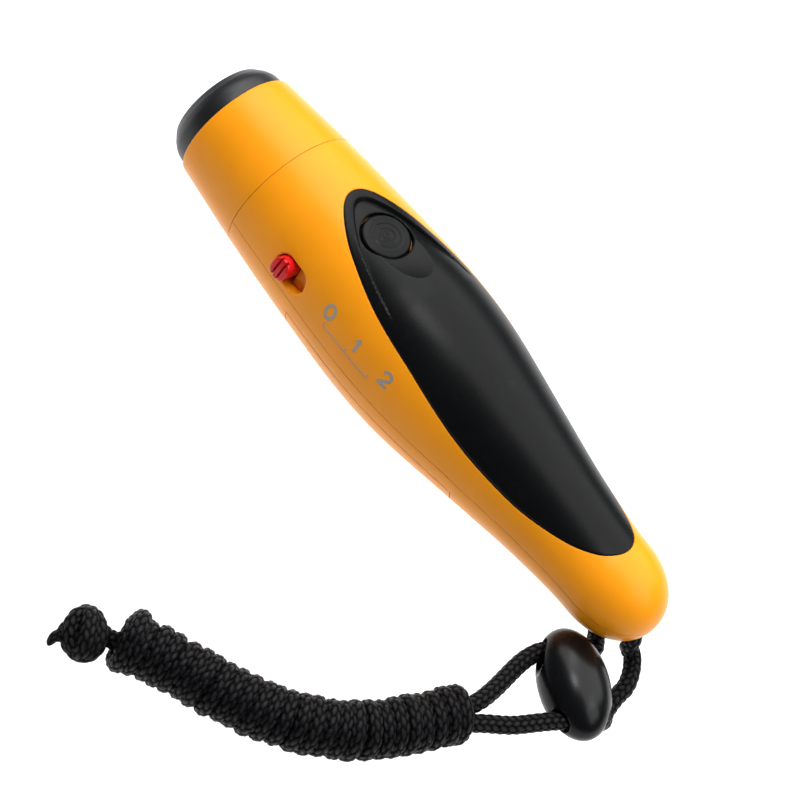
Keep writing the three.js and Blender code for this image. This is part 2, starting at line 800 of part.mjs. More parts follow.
// The end knot, with the short melted end standing out of it.
function cordKnot() {
  const [x, y] = KNOT_PLACE;
  const ball = new THREE.SphereGeometry(KNOT_RADIUS, 14, 10);
  ball.translate(x, y, REST_Z + KNOT_RADIUS + GAP);
  const end = cord(
    [
      [x + 1.6, y + 2, REST_Z + 5],
      [x + 2.6, y + 4.8, REST_Z + 4.4],
      [x + 2.1, y + 6.9, REST_Z + 4],
    ],
    1.5,
    6,
  );
  return toGeometry(toSolid(ball).add(toSolid(end)));
}

// ---------------------------------------------------------------- assembly
const whistle = new THREE.Group();

function add(name, geometry, material) {
  const mesh = new THREE.Mesh(geometry, material);
  mesh.name = name;
  whistle.add(mesh);
}

add("front_cap", frontCap(), BLACK_PLASTIC);
add("front_collar", frontCollar(), ORANGE);
add("sounder_seal", sounderSeal(), FOAM);
add("sounder_housing", sounderHousing(), BLACK_PLASTIC);
add("piezo_disc", piezoDisc(), BRASS);
add("piezo_ceramic", piezoCeramic(), CERAMIC);
add("sounder_retaining_ring", retainingRing(), BLACK_PLASTIC);

add("upper_shell", upperShell(), ORANGE);
add("lower_shell", lowerShell(), ORANGE);
add("grip_pad", gripPad(), BLACK_SOFT);
add("battery_door", batteryDoor(), ORANGE);

add("thumb_button", thumbButton(), BLACK_SOFT);
add("tact_switch_body", tactSwitchBody(), BLACK_PLASTIC);
add("tact_switch_plunger", tactPlunger(), BLACK_PLASTIC);
add("tone_knob", toneKnob(), RED_PLASTIC);
add("tone_shutter", toneShutter(), ORANGE);
add("slide_switch_body", slideSwitchBody(), STEEL);
add("slide_switch_actuator", slideSwitchActuator(), BLACK_PLASTIC);

add("circuit_board", circuitBoard(), BOARD_GREEN);
add("controller_chip", chip(), BLACK_PLASTIC);
add("driver_transistor", transistor(), BLACK_PLASTIC);
add("boost_inductor", inductor(), COPPER);
add("smoothing_capacitor", capacitor(), BLACK_PLASTIC);
BOARD_SCREWS.forEach((s, i) => add(`board_screw_${i + 1}`, boardScrew(s), STEEL));
CASE_SCREWS.forEach(([s, y], i) => add(`case_screw_${i + 1}`, caseScrew(s, y), STEEL));

add("battery_tray", batteryTray(), BLACK_PLASTIC);
add("cell_left", cell(CELL_Y, true), CELL_JACKET);
add("cell_right", cell(-CELL_Y, false), CELL_JACKET);
add("contact_positive", contactPlate(45, 2.4, 8.6), STEEL);
add("contact_negative", contactPlate(42.9, -8.6, -2.4), STEEL);
add("contact_bridge", contactPlate(94.5, -8.4, 8.4), STEEL);
add("contact_spring_front", contactSpring(-CELL_Y, 43.7, 45.9), STEEL);
add("contact_spring_rear", contactSpring(CELL_Y, 94.1, 91.2), STEEL);

[
  ["red", 1, WIRE_RED],
  ["black", -1, WIRE_BLACK],
].forEach(([colour, side, material]) => {
  add(`sounder_wire_${colour}`, sounderWire(side), material);
  add(`battery_wire_${colour}`, batteryWire(side), material);
});

add("cord_bight", cordBight(), CORD);
add("cord_strand_front", strandFront(), CORD);
add("cord_strand_rear", strandRear(), CORD);
add("cord_bead", cordBead(), BLACK_PLASTIC);
add("cord_coil", cordCoil(), CORD);
add("cord_knot", cordKnot(), CORD);

whistle.position.set(REST_STATION, 0, -REST_Z);
const part = new THREE.Group();
part.add(whistle);

export default part;
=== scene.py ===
"""Looks of a handheld electronic whistle with a braided wrist cord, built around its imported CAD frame.

Shapes are worked out in millimetres in a drawing frame: x = -station, where a station is the distance
behind the sound outlet's rim, and y and z are measured from the body's axis. shape_object() turns them
into metres in the CAD frame.
"""
import math

import bpy
import numpy as np
from mathutils import Matrix, Vector


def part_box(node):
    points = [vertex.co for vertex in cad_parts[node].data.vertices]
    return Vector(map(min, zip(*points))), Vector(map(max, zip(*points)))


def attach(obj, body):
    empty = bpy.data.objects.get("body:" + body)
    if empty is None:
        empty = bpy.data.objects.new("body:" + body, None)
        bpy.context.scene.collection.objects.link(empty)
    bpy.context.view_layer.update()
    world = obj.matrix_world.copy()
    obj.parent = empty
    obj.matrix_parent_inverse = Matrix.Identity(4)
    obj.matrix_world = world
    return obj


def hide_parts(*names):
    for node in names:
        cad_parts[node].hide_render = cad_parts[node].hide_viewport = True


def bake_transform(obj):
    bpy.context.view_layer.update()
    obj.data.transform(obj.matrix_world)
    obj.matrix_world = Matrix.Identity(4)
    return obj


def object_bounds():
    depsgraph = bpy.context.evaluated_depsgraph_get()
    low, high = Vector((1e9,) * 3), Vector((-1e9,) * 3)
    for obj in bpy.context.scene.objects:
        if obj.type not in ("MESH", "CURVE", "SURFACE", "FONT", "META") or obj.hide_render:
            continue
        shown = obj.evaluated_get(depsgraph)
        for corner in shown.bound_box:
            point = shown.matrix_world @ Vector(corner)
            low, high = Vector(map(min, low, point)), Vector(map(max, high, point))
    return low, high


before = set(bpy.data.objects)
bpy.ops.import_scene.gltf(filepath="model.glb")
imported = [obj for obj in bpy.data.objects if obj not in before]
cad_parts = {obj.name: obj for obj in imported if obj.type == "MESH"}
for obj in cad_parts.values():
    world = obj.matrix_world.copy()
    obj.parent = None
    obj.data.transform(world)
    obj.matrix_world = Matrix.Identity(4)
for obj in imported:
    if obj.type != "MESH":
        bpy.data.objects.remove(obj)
CAD_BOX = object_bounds()

MM = 0.001
RIM_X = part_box("front_cap")[1].x
AXIS_Z = (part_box("front_cap")[0].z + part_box("front_cap")[1].z) / 2
BASE_Z = CAD_BOX[0].z  # the plane that the whistle lies on
REST_Z = (BASE_Z - AXIS_Z) / MM  # the same plane in the drawing frame
TO_CAD = np.array([RIM_X, 0.0, AXIS_Z])
BOX_MARGIN = 0.6  # millimetres that a piece may reach past its CAD node's box

# ---- driving dimensions, in millimetres
BODY_LENGTH = 148.0
CAP_END = 6.4
CAP_EDGE = (2.0, 12.75)  # station and radius where the cap's bevel meets its band
CAP_BEVEL_SLOPE = 0.8
CAP_SKIRT = (10.9, 5.0, 14.0)  # radius and stations of the part inside the collar
CAP_MOUTH = (9.1, 0.35, 1.4)  # radius at the rim, how fast it narrows, and depth
CAP_BORE = (9.4, 3.2)  # radius, and station of the sound-hole plate's back
SOUND_HOLES = 8
SOUND_HOLE_RING = 5.4
SOUND_HOLE_RADII = (1.5, 1.25)  # in the middle, and round the ring
COLLAR_SKIRT = (13.3, 30.5)  # radius and last station of the part inside the shells
COLLAR_BORE = (11.2, 12.0, 14.3)  # radius round the cap's skirt, radius behind it, station between them
SEAM = 25.8
NOSE_START = 133.5
NOSE_RADIUS = 10.9
NOSE_POWER = 2.1
UPPER_WALL = 2.6
HOLLOW = 8.0  # a distance from the axis that is well inside the upper shell's hollow
LOWER_WALL = 2.2
PAD_THICKNESS = 1.4
GAP = 0.3  # round the thumb button and under the pad
PAD_GAP = 0.08  # the pad is moulded into its pocket
PAD_LEAN = 0.6  # how far the pad's sides lean in for each millimetre of depth
SEAM_GAP = 0.1
DOOR_GAP = 0.2
UPPER_CAVITY_END = 143.0
LOWER_CAVITY_END = 131.0
DISH_STATION = 51.0
DISH_RADII = (30.0, 24.0, 24.0)
DISH_DEPTH = 2.0
RECESS_RIM = 2.1  # width of the raised rim round the thumb dish
RECESS_LEAN = 0.8
BUTTON_RADIUS = 5.5
BUTTON_CROWN = (0.6, 0.012)  # height of its middle above the dish, and how fast it curves down
BUTTON_RINGS = (0.09, 1.35, 4.4)  # height, spacing and outer radius of its fine rings
BUTTON_FLANGE = (7.2, 12.5, 0.5)  # radius, height and half thickness
BUTTON_STEM = (2.5, 9.8, 2.6)  # radius, height of its middle and half length
SLOT_STATION = 44.2
SLOT_LENGTH = 9.3
SLOT_WIDTH = 6.0
SLOT_ANGLE = math.radians(16.0)
KNOB_STATION = 42.3
KNOB_SIZE = (4.5, 5.4)
KNOB_CORNER = 2.2
KNOB_TOP = 19.6
KNOB_CROWN = (0.15, 0.045)  # rise of its middle, and how fast it curves down across the slot
KNOB_GROOVE = (0.26, 0.85)  # half width and depth
KNOB_FOOT = 12.9
KNOB_FIT = 0.1  # gap round the knob in the plate under it
SHUTTER_RADII = (14.55, 15.5)  # outside of the plate under the knob, front and rear
SHUTTER_HALF = (7.1, 3.6, 0.5)  # half length, half width and half thickness of that plate
DOOR_STATIONS = (48.0, 100.0)
DOOR_TOP = -4.0
DOOR_TAB_SIDES = (2, 5)
DOOR_TAB_POST = ((97, 99.6), (-13.4, -10.2))  # stations and heights
DOOR_TAB_TONGUE = ((98, 102.5), (-11.2, -10.2))
CASE_SCREWS = ((34.4, 7.5), (34.4, -7.5), (107.0, 0.0), (123.0, 0.0))
SCREW_BOSS = (3.0, 0.6)  # radius, and distance inside the shells' outside
SCREW_PILOT = (1.4, 6.5)  # radius, and height of the blind hole's end
SCREW_HOLE = 1.6
SCREW_HEAD = 2.6
SCREW_SEAT = 3.6  # depth of the head's seat from the outside of the lower shell
EYE_STATION = 142.3
EYE_Z = -8.3
EYE_RADIUS = 3.9
EYE_BORE = 2.4
CORD_RADIUS = 2.0
CORD_Z = -10.65
BEAD_CENTRE = np.array([-146.5, 16.2, CORD_Z])
BEAD_HALF = (12.5, 7.6, 6.85)  # half length, half width along the holes, half height
BEAD_HOLES = (8.0, 2.4)  # place from the middle, and radius
MOUTH_START = 2.5  # where the front strand's hole starts to widen towards the coil
MOUTH_SPREAD = 0.6
BEAD_TURN = math.radians(152.8)
COIL_RADIUS = 4.2  # of the wound cord's centre line
COIL_PITCH = 2.9
COIL_END = 1.7  # from each end of the coil's line to the middle of the wrap there
LAST_TURN = 0.8  # the part of a turn that crosses back over the wraps before the cord dives inside
LAST_TURN_RISE = 1.2
LAST_TURN_BACK = 2.2
LAST_TURN_ANGLE = 0.57
KNOT_TURNS = 3.7
KNOT_REACH = (2.35, 0.85)  # radius of its inner turns, and what the outer ones add
KNOT_LONG = np.array([0.88, -0.47, 0.0])  # the ball is longest along this direction
KNOT_STRETCH = 0.34
TIP_LENGTH = 8.0  # over which the cord narrows to its melted end


# ---- curves through points
class Curve:
    """A smooth curve through (position, value) points, with each slope taken between its neighbours."""

    def __init__(self, points, end_slope=None):
        self.at, self.value = np.array(points, float).T
        left = np.r_[0, np.arange(len(self.at) - 1)]
        right = np.r_[np.arange(1, len(self.at)), len(self.at) - 1]
        self.slope = (self.value[right] - self.value[left]) / (self.at[right] - self.at[left])
        if end_slope is not None:
            self.slope[-1] = end_slope

    def __call__(self, s):
        """Value and slope at s, going on in a straight line beyond the ends."""
        inside = np.clip(s, self.at[0], self.at[-1])
        i = np.clip(np.searchsorted(self.at, inside, side="right") - 1, 0, len(self.at) - 2)
        h = self.at[i + 1] - self.at[i]
        t = (inside - self.at[i]) / h
        v0, v1, m0, m1 = self.value[i], self.value[i + 1], self.slope[i], self.slope[i + 1]
        value = v0 * (1 + 2 * t) * (1 - t) ** 2 + m0 * h * t * (1 - t) ** 2
        value += v1 * t * t * (3 - 2 * t) + m1 * h * t * t * (t - 1)
        slope = 6 * t * (1 - t) * (v1 - v0) / h
        slope += m0 * (1 - t) * (1 - 3 * t) + m1 * t * (3 * t - 2)
        return value + slope * (s - inside), slope


BODY = Curve(
    [(7, 14.5), (SEAM, 16.5), (47.5, 18.1), (66, 18.9), (80, 18.15), (101, 14.85), (118, 12.2),
     (NOSE_START, NOSE_RADIUS)],
    end_slope=0.0,
)
# the leaf-shaped pad's half width, squared so that the curve also rounds its two ends
PAD_EDGE = Curve(
    [(s, y * y) for s, y in
     [(38.8, 0), (40, 3.1), (42.6, 5.4), (51.2, 9.6), (65.2, 13.1), (80, 14.1), (93, 13.8),
      (110, 11.7), (124.3, 8.4), (130.8, 5.3), (133.8, 0)]]
)
RECESS_DEPTH = Curve([(36, 1.1), (50, 1.05), (55, 0.85), (62, 0.3), (68, -0.2), (72, -1.5)])
CAP_BAND = Curve([CAP_EDGE, (3.4, 13.4), (4.9, 13.65), (CAP_END, 13.7)], end_slope=0.0)


# ---- fields: negative inside a solid
def both(a, b, round_=0.0):
    """What is inside both fields, with the edge between them rounded."""
    if round_ == 0:
        return np.maximum(a, b)
    corner = np.hypot(np.maximum(a + round_, 0), np.maximum(b + round_, 0))
    return np.minimum(-round_, np.maximum(a, b)) + corner


def cut(a, b, round_=0.0):
    return both(a, -b, round_)


def either(a, b, fillet=0.0):
    return -both(-a, -b, fillet)


def body(x, y, z, inset=0.0):
    """The body's outline, made smaller by inset."""
    s = -x
    rho = np.hypot(y, z)
    radius, slope = BODY(np.minimum(s, NOSE_START))
    barrel = (rho - radius + inset) / np.sqrt(1 + slope**2)
    long, wide = BODY_LENGTH - NOSE_START - inset, NOSE_RADIUS - inset
    a = np.maximum(s - NOSE_START, 0) / long
    b = rho / wide
    size = np.maximum((a**NOSE_POWER + b**NOSE_POWER) ** (1 / NOSE_POWER), 0.05)
    da = (a / size) ** (NOSE_POWER - 1) / long
    db = (b / size) ** (NOSE_POWER - 1) / wide
    nose = (size - 1) / np.maximum(np.hypot(da, db), 0.02)
    return np.where(s < NOSE_START, barrel, nose)


def ellipsoid(x, y, z, centre, radii):
    u, v, w = (x - centre[0]) / radii[0], (y - centre[1]) / radii[1], (z - centre[2]) / radii[2]
    k = np.maximum(np.sqrt(u * u + v * v + w * w), 0.05)
    steep = np.sqrt((u / radii[0]) ** 2 + (v / radii[1]) ** 2 + (w / radii[2]) ** 2) / k
    return (k - 1) / np.maximum(steep, 0.01)


def pad_prism(x, y, margin):
    squared, slope = PAD_EDGE(-x)
    return (y * y - squared) / np.sqrt(4 * y * y + slope**2 + 1) - margin


def pad_side(x, y, z, margin=0.0):
    """The pad's side walls, leaning inwards further down so that the shell's rim is not a thin edge."""
    return pad_prism(x, y, margin) - PAD_LEAN * body(x, y, z)


def dish(x, y, z, inset=0.0):
    """The thumb dish, inside a shallow recess that follows the pad's outline. Grown by inset."""
    centre = BODY(DISH_STATION)[0] - DISH_DEPTH + DISH_RADII[2]
    hollow = ellipsoid(x, y, z, (-DISH_STATION, 0, centre), [r + inset for r in DISH_RADII])
    skin = body(x, y, z)
    side = pad_prism(x, y, inset - RECESS_RIM) - RECESS_LEAN * skin
    recess = np.maximum(side, -skin - RECESS_DEPTH(-x)[0] - inset)
    return np.minimum(hollow, np.maximum(recess, -z))


def column(x, y, z, station, y0, radius, low=-99.0, high=99.0):
    side = np.hypot(x + station, y - y0) - radius
    return np.maximum(side, np.maximum(low - z, z - high))


def brick(x, y, z, stations, ys, zs):
    out = [np.abs(value - sum(pair) / 2) - abs(pair[1] - pair[0]) / 2
           for value, pair in ((-x, stations), (y, ys), (z, zs))]
    return np.maximum(np.maximum(out[0], out[1]), out[2])


def slot_frame(y, z):
    """Across the slot, and outwards through it."""
    c, s = math.cos(SLOT_ANGLE), math.sin(SLOT_ANGLE)
    return z * c - y * s, y * c + z * s


def obround(along, across, half_length, half_width):
    return np.hypot(np.maximum(np.abs(along) - half_length + half_width, 0), across) - half_width


# ---- from a field to a mesh
def field_crossings(field, ends_a, ends_b, value_a, value_b):
    """Where the field is zero on the lines between two sets of points, and its direction there."""
    for _ in range(3):
        t = np.clip(value_a / (value_a - value_b), 0.02, 0.98)[:, None]
        middle = ends_a + (ends_b - ends_a) * t
        value = field(*middle.T)
        same = (value < 0) == (value_a < 0)
        ends_a = np.where(same[:, None], middle, ends_a)
        value_a = np.where(same, value, value_a)
        ends_b = np.where(same[:, None], ends_b, middle)
        value_b = np.where(same, value_b, value)
    step = 0.01
    slopes = [field(*(middle + step * axis).T) - field(*(middle - step * axis).T) for axis in np.eye(3)]
    normal = np.stack(slopes, 1)
    return middle, normal / np.maximum(np.linalg.norm(normal, axis=1), 1e-9)[:, None]


def carve(field, low, high, cell):
    """A closed mesh of where the field is negative, with its sharp edges kept (dual contouring)."""
    margin = 1.37 * cell  # not a whole number of cells, so that flat faces miss the grid's planes
    low, high = np.array(low, float) - margin, np.array(high, float) + margin
    count = np.ceil((high - low) / cell).astype(int) + 1
    axes = [low[k] + cell * np.arange(count[k]) for k in range(3)]
    value = np.broadcast_to(
        field(axes[0][:, None, None], axes[1][None, :, None], axes[2][None, None, :]), count
    )
    cells = count - 1
    edges = []
    for k in range(3):
        first, second = (value.take(range(skip, skip + cells[k]), axis=k) for skip in (0, 1))
        index = np.argwhere((first < 0) != (second < 0))
        start = low + cell * index
        end = start + cell * np.eye(3)[k]
        va, vb = first[tuple(index.T)], second[tuple(index.T)]
        point, normal = field_crossings(field, start, end, va, vb)
        edges.append((k, index, point, normal, va < 0))
    flat = lambda ijk: (ijk[:, 0] * cells[1] + ijk[:, 1]) * cells[2] + ijk[:, 2]
    around, quads = [], []
    for k, index, point, normal, inside_first in edges:
        u, v = np.eye(3, dtype=int)[(k + 1) % 3], np.eye(3, dtype=int)[(k + 2) % 3]
        ring = [flat(index - shift) for shift in (u + v, v, 0 * u, u)]
        around += [(cell_id, point, normal) for cell_id in ring]
        quad = np.stack(ring, 1)
        quads.append(np.where(inside_first[:, None], quad, quad[:, ::-1]))
    quads = np.concatenate(quads)
    used, quads = np.unique(quads, return_inverse=True)
    quads = quads.reshape(-1, 4)
    ids = np.concatenate([np.searchsorted(used, ids) for ids, _, _ in around])
    points = np.concatenate([p for _, p, _ in around])
    normals = np.concatenate([n for _, _, n in around])
    total = np.bincount(ids, minlength=len(used)).astype(float)
    gather = lambda values: np.stack(
        [np.bincount(ids, weights=values[:, k], minlength=len(used)) for k in range(values.shape[1])], 1
    )
    centre = gather(points) / total[:, None]
    offset = np.einsum("ij,ij->i", normals, points - centre[ids])
    pull = 0.05 * total[:, None, None] * np.eye(3)
    matrix = gather((normals[:, :, None] * normals[:, None, :]).reshape(-1, 9)).reshape(-1, 3, 3) + pull
    move = np.linalg.solve(matrix, gather(normals * offset[:, None])[:, :, None])[:, :, 0]
    return centre + np.clip(move, -cell, cell), quads


def shape_object(name, vertices, faces, material, sharp=30):
    """A mesh object from drawing-frame points."""
    mesh = bpy.data.meshes.new(name)
    mesh.vertices.add(len(vertices))
    mesh.vertices.foreach_set("co", (np.asarray(vertices) * MM + TO_CAD).astype(np.float32).ravel())
    faces = np.asarray(faces, np.int32)
    mesh.loops.add(faces.size)
    mesh.loops.foreach_set("vertex_index", faces.ravel())
    mesh.polygons.add(len(faces))
    mesh.polygons.foreach_set("loop_start", np.arange(0, faces.size, faces.shape[1], dtype=np.int32))
    mesh.update(calc_edges=True)
    mesh.validate()
    mesh.shade_smooth()
    if sharp:
        mesh.set_sharp_from_angle(angle=math.radians(sharp))
    mesh.materials.append(material)
    obj = bpy.data.objects.new(name, mesh)
    bpy.context.scene.collection.objects.link(obj)
    return obj


def carved_piece(name, node, body_name, slot, material, field, cell):
    """Builds a piece in the place of a CAD node, in that node's box."""
    low, high = ((np.array(corner) - TO_CAD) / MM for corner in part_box(node))
    vertices, faces = carve(field, low - BOX_MARGIN, high + BOX_MARGIN, cell)
    piece = shape_object(name, vertices, faces, material)
    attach(piece, body_name)
    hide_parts(node)
    return piece


# ---- materials
class Nodes:
    """Short calls for building one material's node tree."""

    def __init__(self, name):
        self.material = bpy.data.materials.new(name)
        self.material.use_nodes = True
        self.tree = self.material.node_tree
        self.shader = self.tree.nodes["Principled BSDF"]
        self.place = self.tree.nodes.new("ShaderNodeTexCoord").outputs["Object"]

    def new(self, kind, inputs=None, **settings):
        node = self.tree.nodes.new("ShaderNode" + kind)
        for key, value in settings.items():
            setattr(node, key, value)
        for key, value in (inputs or {}).items():
            self.put(node.inputs[key], value)
        return node

    def put(self, socket, value):
        if isinstance(value, bpy.types.NodeSocket):
            self.tree.links.new(value, socket)
        elif isinstance(value, tuple) and len(value) == 3 and socket.type == "RGBA":
            socket.default_value = (*value, 1)
        else:
            socket.default_value = value

    def set(self, **inputs):
        for key, value in inputs.items():
            self.put(self.shader.inputs[key.replace("_", " ")], value)

    def stretched(self, scale):
        return self.new("Mapping", {"Vector": self.place, "Scale": scale}).outputs["Vector"]

    def noise(self, per_metre, detail, rough=0.55, place=None):
        inputs = {"Vector": place or self.place, "Scale": per_metre}
        return self.new("TexNoise", {**inputs, "Detail": detail, "Roughness": rough}).outputs["Fac"]

    def ramp(self, value, low, high, out_low=0.0, out_high=1.0):
        node = self.new("MapRange", {"Value": value, "From Min": low, "From Max": high,
                                     "To Min": out_low, "To Max": out_high})
        return node.outputs["Result"]

    def mix(self, share, first, second):
        node = self.new("Mix", data_type="RGBA")
        self.put(node.inputs[0], share)
        self.put(node.inputs[6], first)
        self.put(node.inputs[7], second)
        return node.outputs[2]

    def math(self, operation, first, second=0.0):
        return self.new("Math", {0: first, 1: second}, operation=operation).outputs[0]

    def bump(self, height, distance, strength, base=None):
        inputs = {"Height": height, "Distance": distance, "Strength": strength}
        if base is not None:
            inputs["Normal"] = base
        return self.new("Bump", inputs).outputs["Normal"]


def moulded(name, colour, roughness, wear, grain=1200.0, **extra):
    """Moulded plastic: fine grain, uneven gloss, faint scuffs and paler, polished edges."""
    n = Nodes(name)
    cloud = n.noise(45.0, 3.0)
    fine = n.noise(grain, 2.0, 0.5)
    scuff_place = n.stretched((60.0, 420.0, 420.0))
    scuffs = n.ramp(n.noise(1.0, 6.0, 0.75, scuff_place), 0.62, 0.72)
    rounded = n.new("Bevel", {"Radius": 0.00016}, samples=4).outputs["Normal"]
    true = n.new("NewGeometry").outputs["Normal"]
    facing = n.new("VectorMath", {0: rounded, 1: true}, operation="DOT_PRODUCT").outputs["Value"]
    worn = n.ramp(facing, 0.995, 0.9, 0.0, wear)
    pale = tuple(min(1.0, c * 0.75 + 0.2) for c in colour)
    deep = tuple(c * 0.93 for c in colour)
    base = n.mix(n.ramp(cloud, 0.35, 0.65), deep, colour)
    n.set(Base_Color=n.mix(worn, base, pale))
    uneven = n.ramp(cloud, 0.3, 0.7, roughness - 0.035, roughness + 0.035)
    n.set(Roughness=n.math("ADD", uneven, n.math("MULTIPLY", scuffs, 0.10)))
    n.set(Normal=n.bump(fine, 0.00001, 0.6, rounded))
    n.set(**extra)
    return n.material


def soft_touch():
    """Black soft overmould: satin, finely pebbled, with paler handling marks."""
    n = Nodes("soft_touch_rubber")
    pebble = n.new("TexVoronoi", {"Vector": n.place, "Scale": 2600.0}).outputs["Distance"]
    cloud = n.noise(60.0, 4.0)
    marks = n.ramp(n.noise(220.0, 8.0, 0.7), 0.56, 0.75)
    rounded = n.new("Bevel", {"Radius": 0.0002}, samples=4).outputs["Normal"]
    dark, pale = (0.0030, 0.0032, 0.0036), (0.0065, 0.0068, 0.0074)
    n.set(Base_Color=n.mix(marks, dark, pale))
    n.set(Roughness=n.ramp(cloud, 0.3, 0.7, 0.30, 0.36), Specular_IOR_Level=0.11)
    n.set(Normal=n.bump(pebble, 0.00002, 0.35, rounded))
    return n.material


def braided_polyester():
    """Black braid: filaments run along each pick; painted shade makes the colour darker in the gaps
    between picks and the reflection weaker in hollows between picks or wraps.
    """
    n = Nodes("braided_polyester")
    across = n.new("Attribute", attribute_name="across").outputs["Fac"]
    height = n.new("Attribute", attribute_name="height").outputs["Fac"]
    fuzz = n.noise(2500.0, 3.0, 0.6)
    threads = n.math("SINE", n.math("MULTIPLY", across, 42.0))
    # painted shade: ambient occlusion dims the reflection in the hollows between picks and wraps
    openness = n.new("AmbientOcclusion", {"Distance": 0.003}, samples=6).outputs["AO"]
    unshaded_share = n.ramp(openness, 0.35, 0.85)
    # painted shade: the colour is darker where the braid is low, in the gaps between picks
    gap_shaded_tone = n.mix(n.ramp(height, 0.0, 0.26), (0.0006, 0.0006, 0.0007), (0.0036, 0.0038, 0.0046))
    n.set(Base_Color=n.mix(n.ramp(fuzz, 0.45, 0.8), gap_shaded_tone, (0.0078, 0.0082, 0.0096)))
    # painted shade: less reflection where the braid is low and where it is hollowed
    shine = n.math("MULTIPLY", n.ramp(height, 0.06, 0.27, 0.03, 0.21), unshaded_share)
    n.set(Roughness=n.ramp(fuzz, 0.3, 0.7, 0.34, 0.48), Specular_IOR_Level=shine)
    n.set(Sheen_Weight=0.008, Sheen_Roughness=0.4)
    relief = n.bump(threads, 0.00004, 0.5)
    n.set(Normal=n.bump(fuzz, 0.00008, 0.5, relief))
    return n.material


def metal(name, colour, roughness):
    """Drawn or rolled metal: brushed along one direction, with dull stains."""
    n = Nodes(name)
    brushed = n.noise(1.0, 5.0, 0.7, n.stretched((40.0, 900.0, 900.0)))
    stains = n.ramp(n.noise(400.0, 5.0), 0.55, 0.75, 0.0, 0.5)
    dull = tuple(c * s for c, s in zip(colour, (0.5, 0.4, 0.3)))
    n.set(Base_Color=n.mix(stains, colour, dull))
    n.set(Metallic=1.0, Roughness=n.ramp(brushed, 0.3, 0.7, roughness - 0.08, roughness + 0.1))
    rounded = n.new("Bevel", {"Radius": 0.0001}, samples=4).outputs["Normal"]
    n.set(Normal=n.bump(brushed, 0.00001, 0.5, rounded))
    return n.material


def foam():
    n = Nodes("closed_cell_foam")
    bubbles = n.new("TexVoronoi", {"Vector": n.place, "Scale": 3200.0}).outputs["Distance"]
    # painted shade: the colour is darker in the middle of each bubble's pit, where the bump is lowest
    n.set(Base_Color=n.mix(bubbles, (0.012, 0.012, 0.013), (0.035, 0.035, 0.037)))
    n.set(Roughness=0.9, Normal=n.bump(bubbles, 0.0001, 0.8))
    return n.material


def fired_ceramic():
    n = Nodes("silvered_ceramic")
    speckle = n.noise(2600.0, 6.0, 0.7)
    n.set(Base_Color=n.mix(n.ramp(speckle, 0.4, 0.65), (0.62, 0.6, 0.55), (0.8, 0.78, 0.72)))
    n.set(Metallic=0.35, Roughness=n.ramp(speckle, 0.3, 0.7, 0.3, 0.5))
    n.set(Normal=n.bump(speckle, 0.00001, 0.4))
    return n.material


def solder_mask():
    """Green board: a faint glass weave and copper tracks under the mask."""
    n = Nodes("solder_mask")
    weave = n.new("TexChecker", {"Vector": n.place, "Scale": 1600.0}).outputs["Fac"]
    tracks = n.new("TexBrick", {"Vector": n.place, "Scale": 90.0, "Mortar Size": 0.03}).outputs["Fac"]
    green = n.mix(n.math("MULTIPLY", weave, 0.3), (0.012, 0.09, 0.035), (0.02, 0.12, 0.05))
    n.set(Base_Color=n.mix(tracks, green, (0.05, 0.2, 0.07)))
    n.set(Roughness=0.28, Coat_Weight=0.3, Normal=n.bump(tracks, 0.00003, 0.5))
    return n.material


def wound_copper():
    n = Nodes("copper_winding")
    waves = {"Vector": n.place, "Scale": 800.0, "Distortion": 0.4}
    turns = n.new("TexWave", waves, bands_direction="Z").outputs["Fac"]
    # painted shade: the colour is dark in the grooves between the turns, where the bump is lowest
    n.set(Base_Color=n.mix(turns, (0.12, 0.03, 0.012), (0.62, 0.24, 0.09)))
    n.set(Metallic=0.85, Roughness=0.3, Normal=n.bump(turns, 0.0001, 0.8))
    return n.material


def cell_label():
    """The cells' jackets: a dark sleeve with a plain pale band at one end and bare metal ends."""
    n = Nodes("cell_jacket")
    x = n.new("SeparateXYZ", {"Vector": n.place}).outputs["X"]
    low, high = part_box("cell_left")
    from_band = n.math("ABSOLUTE", n.math("SUBTRACT", x, low.x + 0.010))
    from_middle = n.math("ABSOLUTE", n.math("SUBTRACT", x, (low.x + high.x) / 2))
    band = n.math("LESS_THAN", from_band, 0.0045)
    ends = n.math("GREATER_THAN", from_middle, 0.0213)
    flecks = n.ramp(n.noise(900.0, 6.0, 0.7), 0.6, 0.72)
    sleeve = n.mix(band, (0.014, 0.03, 0.055), (0.30, 0.32, 0.34))
    n.set(Base_Color=n.mix(ends, n.mix(flecks, sleeve, (0.08, 0.09, 0.11)), (0.65, 0.65, 0.67)))
    n.set(Metallic=n.math("MAXIMUM", n.math("MULTIPLY", ends, 0.95), 0.2), Roughness=0.27)
    n.set(Coat_Weight=0.3, Normal=n.bump(flecks, 0.00001, 0.4))
    return n.material


def printed_ink():
    n = Nodes("pad_printed_ink")
    thin = n.ramp(n.noise(2600.0, 5.0, 0.7), 0.35, 0.6)
    n.set(Base_Color=n.mix(thin, (0.36, 0.27, 0.17), (0.27, 0.265, 0.26)), Roughness=0.42)
    n.set(Normal=n.bump(thin, 0.00001, 0.4))
    return n.material


